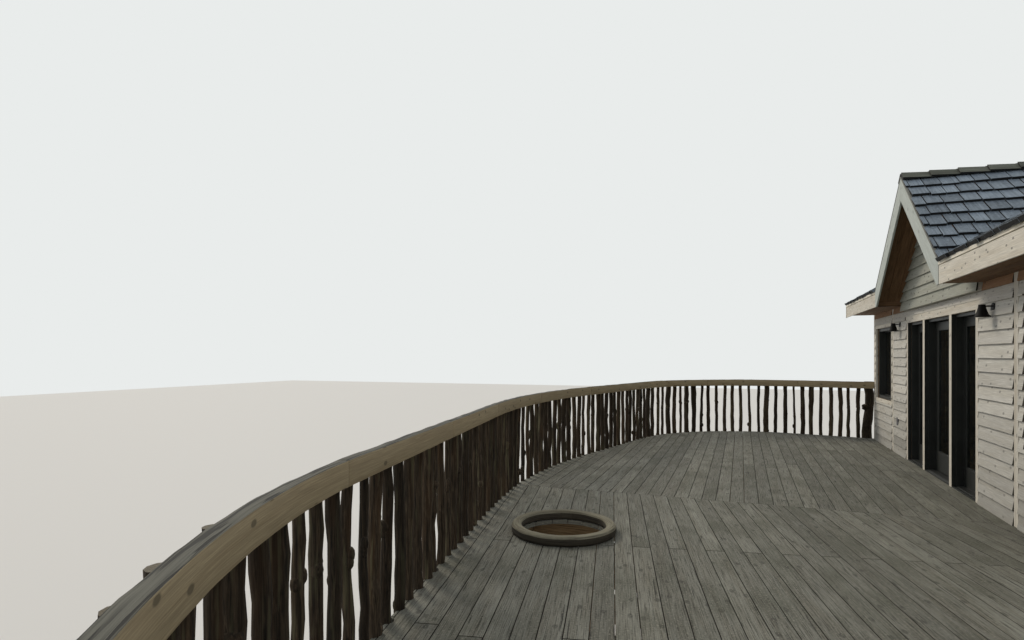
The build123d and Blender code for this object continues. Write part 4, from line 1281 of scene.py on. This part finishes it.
def window_casing(low, high, chance):
    """Four boards round a window, the upright ones between the two level ones."""
    thin_x = high.x - low.x < high.y - low.y
    along = Y_AXIS if thin_x else X_AXIS
    inset, rise = along * CASING_W, Z_AXIS * CASING_W
    tall, wide = (high - low).dot(Z_AXIS) * Z_AXIS, (high - low).dot(along) * along
    spans = ((low, high - tall + rise, along), (low + tall - rise, high, along),
             (low + rise, high - rise - wide + inset, Z_AXIS),
             (low + rise + wide - inset, high - rise, Z_AXIS))
    return [board_between("casing", a, b, axis, chance) for a, b, axis in spans]


def door_casing_boards(chance):
    """The casing's sides and head, and the pale fronts of the two posts."""
    top = deck().level
    head = DOOR_HALF + DOOR_CASING_W + DOOR_EAR
    head_z = top + DOOR_HEAD
    boards = [board_between("head", (-head, -TRIM_PROUD, head_z), (head, CLADDING, head_z + DOOR_HEAD_W),
                            X_AXIS, chance)]
    for side in (-1, 1):
        for inner, outer in ((DOOR_HALF - 0.001, DOOR_HALF + DOOR_CASING_W), (POST_INNER, POST_OUTER)):
            x0, x1 = sorted((side * inner, side * outer))
            boards.append(board_between("side", (x0, -TRIM_PROUD, top), (x1, FRAME_Y, head_z),
                                        Z_AXIS, chance))
    casing = joined("door_casing_boards", boards)
    dressed(casing, "trim", node_names=("door_casing",))
    finish_faces(casing, "frames", lambda normal, at: (
        abs(normal.x) > FLAT_ON and abs(at.x) < DOOR_HALF + 0.01))
    # The head's underside takes the cream starter finish: a painted highlight along the bottom of the head
    finish_faces(casing, "starter", lambda normal, at: normal.z < -FLAT_ON)


def sloping_grain(piece, slope_of, chance):
    """Run the grain of sloping boards up each slope."""
    boards = []
    for board in separated(piece):
        middle = sum((vertex.co for vertex in board.data.vertices), Vector()) / len(board.data.vertices)
        boards.append(own_grain(board, slope_of(middle), chance))
    return joined(piece.name, boards)


def upright(middle):
    """The way the grain runs in an upright board."""
    return Z_AXIS


def up_main_slope(middle):
    """The way up the main roof's slope that a point lies on."""
    return Vector((0, 1, ROOF_SLOPE if middle.y < RIDGE_Y else -ROOF_SLOPE))


def along_gable_slope(middle):
    """The way along the gable's slope that a point lies on."""
    return Vector((1, 0, -GABLE_SLOPE if middle.x > 0 else GABLE_SLOPE))


def gable_side(side):
    """The way up a gable slope and the way out of it."""
    up = Vector((-side * GABLE_HALF, 0, GABLE_RISE)).normalized()
    return up, Vector((side * GABLE_RISE, 0, GABLE_HALF)).normalized()


class TREEHOUSE_OT_trim(bpy.types.Operator):
    """Plane the corner boards, casings, battens, fascias and rakes, and add the drip strips"""
    bl_idname = "treehouse.trim"
    bl_label = "Trim boards"

    def execute(self, context):
        chance = random.Random(31)
        top = deck().level
        for node, finish, slope_of in (
                ("corner_boards", "trim", upright), ("wall_battens", "trim", upright),
                ("barge_boards", "trim", up_main_slope), ("gable_rake_boards", "rake", along_gable_slope)):
            piece = softened(solid_copy(node, f"{node}_sawn"), 0.003)
            piece = sloping_grain(piece, slope_of, chance)
            dressed(piece, finish, node_names=(node,))
        casings = [board for box in islands("window_casings") for board in window_casing(*box, chance)]
        dressed(joined("window_casing_boards", casings), "trim", node_names=("window_casings",))
        door_casing_boards(chance)
        boards, starters = [], []
        end, eave_z = ROOF_HALF - FASCIA_T, top + EAVE_Z
        for x0, x1, outer, inward in ((-end, -GABLE_HALF, EAVE_Y, 1), (GABLE_HALF, end, EAVE_Y, 1),
                                      (-end, end, BACK_EAVE_Y, -1)):
            inner = outer + inward * FASCIA_T
            set_back = outer + inward * FASCIA_SET_BACK
            boards.append(board_between("fascia", (x0, min(set_back, inner), top + FASCIA_LOW),
                                        (x1, max(set_back, inner), eave_z - FASCIA_DROP), X_AXIS, chance))
            starter = new_box("starter", (x0, min(outer, inner), eave_z - STARTER_H),
                              (x1, max(outer, inner), eave_z))
            cut_across(starter, STARTER_STEP)
            for vertex in starter.data.vertices:
                if vertex.co.z > eave_z - 0.001:
                    vertex.co.z -= STARTER_WEAR * abs(noise.noise(vertex.co * 9))
            softened(starter, 0.0015, 1)
            starters.append(own_grain(starter, X_AXIS, chance, across=False))
        dressed(joined("fascias_sawn", boards), "trim", node_names=("fascias",))
        dressed(joined("starter_strips", starters), "starter")
        strips = []
        length = math.hypot(GABLE_HALF, GABLE_RISE)
        for side in (-1, 1):
            up, outward = gable_side(side)
            foot = Vector((side * GABLE_HALF, EAVE_Y - 0.006, eave_z))
            strip = new_box("rake_strip", (-0.02, 0.002, -0.004), (length + 0.02, 0.03, 0.014))
            softened(strip, 0.003)
            grain_map(strip, X_AXIS, (side * 7, 3), 0.3)
            turn = Matrix((up, Y_AXIS, outward)).transposed().to_4x4()
            strip.data.transform(Matrix.Translation(foot) @ turn)
            trimmed(strip, (0, 0, 0), (-side, 0, 0))
            with editing(strip):
                turn_outward()
            strips.append(strip)
        dressed(joined("rake_drip_strips", strips), "strip")
        return {"FINISHED"}


# Roof: shakes laid in courses

# The eave's layers: finish, height over the roof's plane, thickness and distance up from the edge. The butts
# layers are painted shade between the olive boards
EAVE_LAYERS = (("eave_layer", 0.046, 0.007, 0.006), ("butts", 0.053, 0.012, 0.012),
               ("eave_layer", 0.065, 0.006, 0.02), ("butts", 0.071, 0.009, 0.03))
LAYER_DEPTH, LAYER_LENGTHS = 0.12, (0.8, 1.7)
# The back courses start this far in, and the front ones hang over by this much
BACK_INSET, FRONT_OVER = 0.034, 0.022
# A shake's length, its middle over its lower end, and its least width
SHAKE_LENGTH, SHAKE_MIDDLE, SHAKE_LEAST = 0.29, 0.145, 0.03
# How far shakes drift up or down the slope
DRIFTS = (-0.012, -0.005, 0, 0, 0.006, 0.014)
# Ridge boards: width, lap, height of their seat and how far their middle lies down the slope
CAP_W, CAP_LAP, CAP_SEAT, CAP_DOWN = 0.15, 0.03, 0.036, 0.055


def eave_layers(foot, normal, span, chance):
    """Long thin boards stacked on the eave's first course, their edges showing as lines."""
    low, high = span
    boards = []
    for finish, lift, thickness, setback in EAVE_LAYERS:
        s = low
        while s < high:
            length = chance.uniform(*LAYER_LENGTHS)
            board = new_box("layer", (s + 0.001, setback, lift),
                            (min(s + length, high), LAYER_DEPTH, lift + thickness))
            own_grain(softened(board, 0.0015, 1), X_AXIS, chance, across=False)
            board.data.materials.append(MATERIALS[finish])
            board.data.transform(frame_at(foot, X_AXIS, normal))
            boards.append(board)
            s += length
    return boards


def courses(model, chance, foot, up, normal, across_span, run, first=0.0):
    """Shakes up a slope: across_span gives (from, to) across the slope at each distance up it."""
    settings = roof()
    across = normal.cross(up)
    shakes = []
    for course in range(math.ceil((run - first) / settings.exposure)):
        d = first + course * settings.exposure
        low, high = across_span(d)
        s = low + chance.uniform(-0.12, 0)
        while s < high:
            width = chance.uniform(settings.narrow, settings.wide)
            a, b = max(s, low), min(s + width, high)
            s += width
            if b - a < SHAKE_LEAST:
                continue
            drift = chance.choice(DRIFTS) + chance.uniform(-0.004, 0.004)
            point = foot + up * (d + drift + SHAKE_MIDDLE) + across * ((a + b) / 2)
            place = (frame_at(point, up, normal) @ Matrix.Rotation(chance.uniform(-0.012, 0.012), 4, "Z")
                     @ Matrix.Diagonal((1, 1, chance.uniform(0.84, 1.0), 1)))
            width = b - a - chance.uniform(0.007, 0.015)
            shakes.append(cut_to(model, SHAKE_LENGTH, place, chance, width))
    return shakes


class TREEHOUSE_OT_shakes(bpy.types.Operator):
    """Lay split shakes on all four slopes and boards on both ridges"""
    bl_idname = "treehouse.shakes"
    bl_label = "Shakes and ridge boards"

    def execute(self, context):
        settings = roof()
        chance = random.Random(41)
        top = deck().level
        model = model_board("shakes", 0.2, settings.butt, 0.002, 1, SHAKE_LENGTH, settings.tip,
                            ends="butts", shaded_edges=True)
        angle, lean = math.atan(ROOF_SLOPE), math.atan(GABLE_SLOPE)
        level, rise = math.cos(angle), math.sin(angle)
        reach = ROOF_HALF - 0.004
        valley_run = GABLE_RISE / ROOF_SLOPE
        valley_rate = GABLE_HALF / valley_run

        def front_span(side):
            """The span of a front course, on past the valley, at each distance up the slope."""
            def span(d):
                y = EAVE_Y + (d - FRONT_OVER) * level
                edge = max(GABLE_HALF - valley_rate * (y + 0.3 - EAVE_Y) - 0.25, 0)
                return (edge, reach) if side < 0 else (-reach, -edge)
            return span

        run = (RIDGE_Y - EAVE_Y) / level
        foot = Vector((0, EAVE_Y - FRONT_OVER * level, top + EAVE_Z - FRONT_OVER * rise))
        up, normal = Vector((0, level, rise)), Vector((0, -rise, level))
        for side, name in ((-1, "left"), (1, "right")):
            layers = courses(model, chance, foot, up, normal, front_span(side), run + FRONT_OVER)
            layers += eave_layers(foot, normal, front_span(side)(0), chance)
            piece = joined(f"shakes_front_{name}", layers)
            valley = Vector((-side * valley_run, -GABLE_HALF, 0)).normalized()
            trimmed(piece, (side * GABLE_HALF, EAVE_Y, 0), valley)
            trimmed(piece, (0, RIDGE_Y, 0), Y_AXIS)
            dressed(piece)
        foot = Vector((0, BACK_EAVE_Y - BACK_INSET, top + EAVE_Z + ROOF_SLOPE * BACK_INSET))
        up, normal = Vector((0, -level, rise)), Vector((0, rise, level))
        back = joined("shakes_back", courses(model, chance, foot, up, normal, lambda d: (-reach, reach), run))
        trimmed(back, (0, RIDGE_Y, 0), -Y_AXIS)
        dressed(back)
        for side, name in ((-1, "left"), (1, "right")):
            up = Vector((-side * math.cos(lean), 0, math.sin(lean)))
            normal = Vector((side * math.sin(lean), 0, math.cos(lean)))
            foot = Vector((side * GABLE_HALF, 0, top + EAVE_Z))
            length = math.hypot(GABLE_HALF, GABLE_RISE)

            def gable_span(d):
                x = GABLE_HALF - d * math.cos(lean)
                back_y = EAVE_Y + (GABLE_HALF - x + 0.25) / valley_rate + 0.1
                return (-back_y, -EAVE_Y) if side > 0 else (EAVE_Y, back_y)

            piece = joined(f"shakes_gable_{name}", courses(
                model, chance, foot, up, normal, gable_span, length, first=-0.02))
            trimmed(piece, (0, 0, 0), X_AXIS * -side)
            valley = Vector((side * valley_run, GABLE_HALF, 0)).normalized()
            trimmed(piece, (side * GABLE_HALF, EAVE_Y, 0), valley)
            dressed(piece)
        removed(model)
        self.ridge_boards(chance)
        painted("soffit_x", "main_roof_front", "main_roof_back", "gable_roof_left", "gable_roof_right")
        return {"FINISHED"}

    def ridge_boards(self, chance):
        """Overlapping boards on both ridges, mitred where they meet."""
        step = roof().cap_exposure
        eave_z = deck().level + EAVE_Z
        ridge = Vector((0, RIDGE_Y, eave_z + ROOF_SLOPE * (RIDGE_Y - EAVE_Y)))
        gable = Vector((0, 0, eave_z + GABLE_RISE))
        for node, start, end, along, slope, origin, butt in (
                ("main_ridge_cap", -ROOF_HALF, ROOF_HALF, X_AXIS, ROOF_SLOPE, ridge, 0.021),
                ("gable_ridge_cap", EAVE_Y, RIDGE_Y - 0.5, Y_AXIS, GABLE_SLOPE, gable, 0.034)):
            model = model_board("ridge", CAP_W, butt, 0.002, 1, step + CAP_LAP, 0.009, ends="butts",
                                shaded_edges=True)
            side_axis = Z_AXIS.cross(along)
            halves = []
            for side in (-1, 1):
                normal = (side_axis * side * slope + Z_AXIS).normalized()
                down = (side_axis * side - Z_AXIS * slope).normalized()
                boards = []
                count = math.ceil((end - start) / step)
                for index in range(count):
                    a = start + (end - start) * index / count
                    length = (end - start) / count + (CAP_LAP if index < count - 1 else 0)
                    point = origin + along * (a + length / 2) + normal * CAP_SEAT + down * CAP_DOWN
                    width = CAP_W + chance.uniform(-0.006, 0)
                    boards.append(cut_to(model, length, frame_at(point, along, normal), chance, width))
                half = joined("ridge_half", boards)
                trimmed(half, origin, side_axis * -side)
                halves.append(half)
            dressed(joined(f"{node}_boards", halves), node_names=(node,))
            removed(model)


SOFFIT_BOARDS = 3


class TREEHOUSE_OT_soffits(bpy.types.Operator):
    """Line the undersides of the gable and the eaves with dark boards"""
    bl_idname = "treehouse.soffits"
    bl_label = "Soffits"

    def execute(self, context):
        chance = random.Random(51)
        top = deck().level
        y0, y1 = EAVE_Y + FASCIA_T, CLADDING
        count = SOFFIT_BOARDS
        model = model_board("soffit", 0.13, SOFFIT_T, 0.003, 2)
        length = math.hypot(GABLE_HALF, GABLE_RISE)
        pieces = []
        for side in (-1, 1):
            up, outward = gable_side(side)
            foot = Vector((side * GABLE_HALF, 0, top + EAVE_Z)) - outward * (ROOF_T + SOFFIT_T)
            boards = []
            for index in range(count):
                y = y0 + (y1 - y0) * (index + 0.5) / count
                place = frame_at(foot + up * (length / 2) + Y_AXIS * y, up, -outward)
                boards.append(cut_to(model, length + 0.3, place, chance, (y1 - y0) / count - 0.003))
            half = joined("soffit_half", boards)
            trimmed(half, (0, 0, 0), X_AXIS * -side)
            trimmed(half, (side * GABLE_HALF, 0, 0), X_AXIS * side)
            pieces.append(half)
        dressed(joined("gable_soffit_boards", pieces), node_names=("gable_soffit",))
        removed(model)
        level = top + FASCIA_LOW + 0.006
        box_end = CABIN_HALF + 0.033
        boxes = []
        spans = [(-box_end, -GABLE_HALF, y0, -0.001, -1), (GABLE_HALF, box_end, y0, -0.001, -1),
                 (-box_end, box_end, CABIN_DEPTH + 0.001, BACK_EAVE_Y - FASCIA_T, 1)]
        for x0, x1, front, back, slope in spans:
            for index in range(count):
                a = front + (back - front) * index / count
                b = front + (back - front) * (index + 1) / count
                low, high = (x0, a + 0.001, level), (x1, b - 0.001, level + SOFFIT_T)
                boxes.append(board_between("eave_board", low, high, X_AXIS, chance))
            for x in (x0, x1):
                inside = 1 if x < (x0 + x1) / 2 else -1
                board = board_between("eave_return", (min(x, x + inside * SOFFIT_T), front, level),
                                      (max(x, x + inside * SOFFIT_T), back, level + 0.4), Y_AXIS, chance)
                boxes.append(trimmed(board, *main_under(slope)))
        dressed(joined("eave_soffits", boxes), "soffit")
        return {"FINISHED"}


# Doors, windows and fittings

def ring(name, x0, x1, z0, z1, y0, y1, band, round_off=0.002):
    """A flat frame between two depths: a rectangle inset by its band and given its thickness."""
    bpy.ops.mesh.primitive_plane_add(
        size=1, location=((x0 + x1) / 2, y0, (z0 + z1) / 2), rotation=(math.pi / 2, 0, 0))
    frame_ring = bpy.context.object
    frame_ring.name = name
    frame_ring.scale = (x1 - x0, z1 - z0, 1)
    with editing(settled(frame_ring)):
        bpy.ops.mesh.select_mode(type="FACE")
        bpy.ops.mesh.select_all(action="SELECT")
        bpy.ops.mesh.inset(thickness=band)
        bpy.ops.mesh.delete(type="FACE")
        bpy.ops.mesh.select_all(action="SELECT")
        bpy.ops.mesh.extrude_region_move(TRANSFORM_OT_translate={"value": (0, y1 - y0, 0)})
        turn_outward()
        bpy.ops.mesh.select_mode(type="VERT")
    return softened(frame_ring, round_off)


# The middle of the glass, the beads round it and half its thickness
GLASS_Y, BEAD, HALF_GLASS = 0.1405, 0.014, 0.006


class TREEHOUSE_OT_joinery(bpy.types.Operator):
    """Soften the door and window frames and add beads round the door's, the sidelights' and the front
    windows' panes
    """
    bl_idname = "treehouse.joinery"
    bl_label = "Door and windows"

    def execute(self, context):
        top = deck().level
        for node, body in (("door_frame", "house"), ("window_frames", "house"), ("threshold", "house"),
                           ("door_leaf", "door")):
            piece = softened(solid_copy(node, f"{node}_painted"), 0.003)
            dressed(piece, "frames", body=body, node_names=(node,))
        painted("glass", "sidelight_glass", "door_glass", "window_glass")
        painted("iron", "door_handle")
        painted("steel", "hinge_pins", "hinge_knuckles")

        def beads(name, x0, x1, z0, z1, body):
            sides = []
            for side in (-1, 1):
                y = GLASS_Y + side * HALF_GLASS
                sides.append(ring(name, x0, x1, z0, z1, y, y + side * BEAD, BEAD))
            dressed(joined(name, sides), "frames", body=body)

        panes = [("door_beads", islands("door_glass"), "door"),
                 ("sidelight_beads", islands("sidelight_glass"), "house"),
                 ("window_beads", [box for box in islands("window_glass") if box[1].y < 0.3], "house")]
        for name, boxes, body in panes:
            for index, (low, high) in enumerate(boxes):
                beads(f"{name}_{index}", low.x, high.x, low.z, high.z, body)
        spans = ((-DOOR_HALF, -POST_OUTER, FRAME_Y), (-POST_INNER, POST_INNER, TRIM_PROUD),
                 (POST_OUTER, DOOR_HALF, FRAME_Y))
        sills = [softened(new_box("sill", (x0, -0.004, top - 0.004), (x1, back, top + 0.01)))
                 for x0, x1, back in spans]
        dressed(joined("door_sill_strips", sills), "frames")
        return {"FINISHED"}


# The lamps: where their shades start, and the shades' radii and height, beside the solid's radius
LAMP_X, LAMP_Y, LAMP_TOP_Z = 1.91, -0.105, 2.119
SHADE_TOP_R, SHADE_CAD_R, SHADE_R, SHADE_H = 0.031, 0.081, 0.067, 0.125


class TREEHOUSE_OT_fittings(bpy.types.Operator):
    """Flare the wall lamps' shades, add their bulbs and finish the outlet"""
    bl_idname = "treehouse.fittings"
    bl_label = "Lamps and outlet"

    def execute(self, context):
        lamps = solid_copy("wall_lamps", "wall_lamps_flared")
        shade_top = deck().level + LAMP_TOP_Z
        for step in range(1, 6):
            with editing(lamps):
                bpy.ops.mesh.bisect(plane_co=(0, 0, shade_top - SHADE_H * step / 6), plane_no=Z_AXIS)
        for vertex in lamps.data.vertices:
            if vertex.co.y < -0.03 and vertex.co.z < shade_top - 0.001:
                depth = (shade_top - vertex.co.z) / SHADE_H
                cone = SHADE_TOP_R + (SHADE_CAD_R - SHADE_TOP_R) * depth
                flare = (SHADE_TOP_R + (SHADE_R - SHADE_TOP_R) * depth ** 1.6) / cone
                middle = math.copysign(LAMP_X, vertex.co.x)
                vertex.co.x = middle + (vertex.co.x - middle) * flare
                vertex.co.y = LAMP_Y + (vertex.co.y - LAMP_Y) * flare
        dressed(smooth(softened(lamps, 0.0015)), "iron", node_names=("wall_lamps",))
        painted("plastic", "outlet_box")
        bulbs = []
        for x in (-LAMP_X, LAMP_X):
            bpy.ops.mesh.primitive_uv_sphere_add(
                segments=20, ring_count=12, radius=0.027, location=(x, LAMP_Y, deck().level + 2.055))
            bulb = context.object
            for vertex in bulb.data.vertices:
                if vertex.co.z > 0:
                    vertex.co.x *= 1 - 14 * vertex.co.z
                    vertex.co.y *= 1 - 14 * vertex.co.z
                    vertex.co.z *= 1.7
            bulbs.append(smooth(settled(bulb)))
        dressed(joined("lamp_bulbs", bulbs), "bulb")
        return {"FINISHED"}


PIECES = ("stage", "deck", "railing", "framing", "collar", "siding", "trim", "shakes", "soffits", "joinery",
          "fittings")


class TREEHOUSE_PT_panel(bpy.types.Panel):
    """Lists the pieces of the finish"""
    bl_idname = "TREEHOUSE_PT_panel"
    bl_label = "Tree House"
    bl_space_type = "VIEW_3D"
    bl_region_type = "UI"
    bl_category = "Tree House"

    def draw(self, context):
        for piece in PIECES:
            self.layout.operator(f"treehouse.{piece}")


SETTINGS = {
    "tree_house_deck": DeckSettings,
    "tree_house_railing": RailingSettings,
    "tree_house_walls": WallSettings,
    "tree_house_roof": RoofSettings,
    "tree_house_stage": StageSettings,
}
CLASSES = (
    *SETTINGS.values(),
    TREEHOUSE_OT_stage,
    TREEHOUSE_OT_deck,
    TREEHOUSE_OT_railing,
    TREEHOUSE_OT_framing,
    TREEHOUSE_OT_collar,
    TREEHOUSE_OT_siding,
    TREEHOUSE_OT_trim,
    TREEHOUSE_OT_shakes,
    TREEHOUSE_OT_soffits,
    TREEHOUSE_OT_joinery,
    TREEHOUSE_OT_fittings,
    TREEHOUSE_PT_panel,
)


def register():
    for made in CLASSES:
        bpy.utils.register_class(made)
    for name, group in SETTINGS.items():
        setattr(bpy.types.Scene, name, bpy.props.PointerProperty(type=group))


def unregister():
    for name in SETTINGS:
        delattr(bpy.types.Scene, name)
    for made in reversed(CLASSES):
        bpy.utils.unregister_class(made)


def main():
    register()
    noise.seed_set(NOISE_SEED)
    make_materials()
    for piece in PIECES:
        getattr(bpy.ops.treehouse, piece)()


if __name__ == "__main__":
    main()
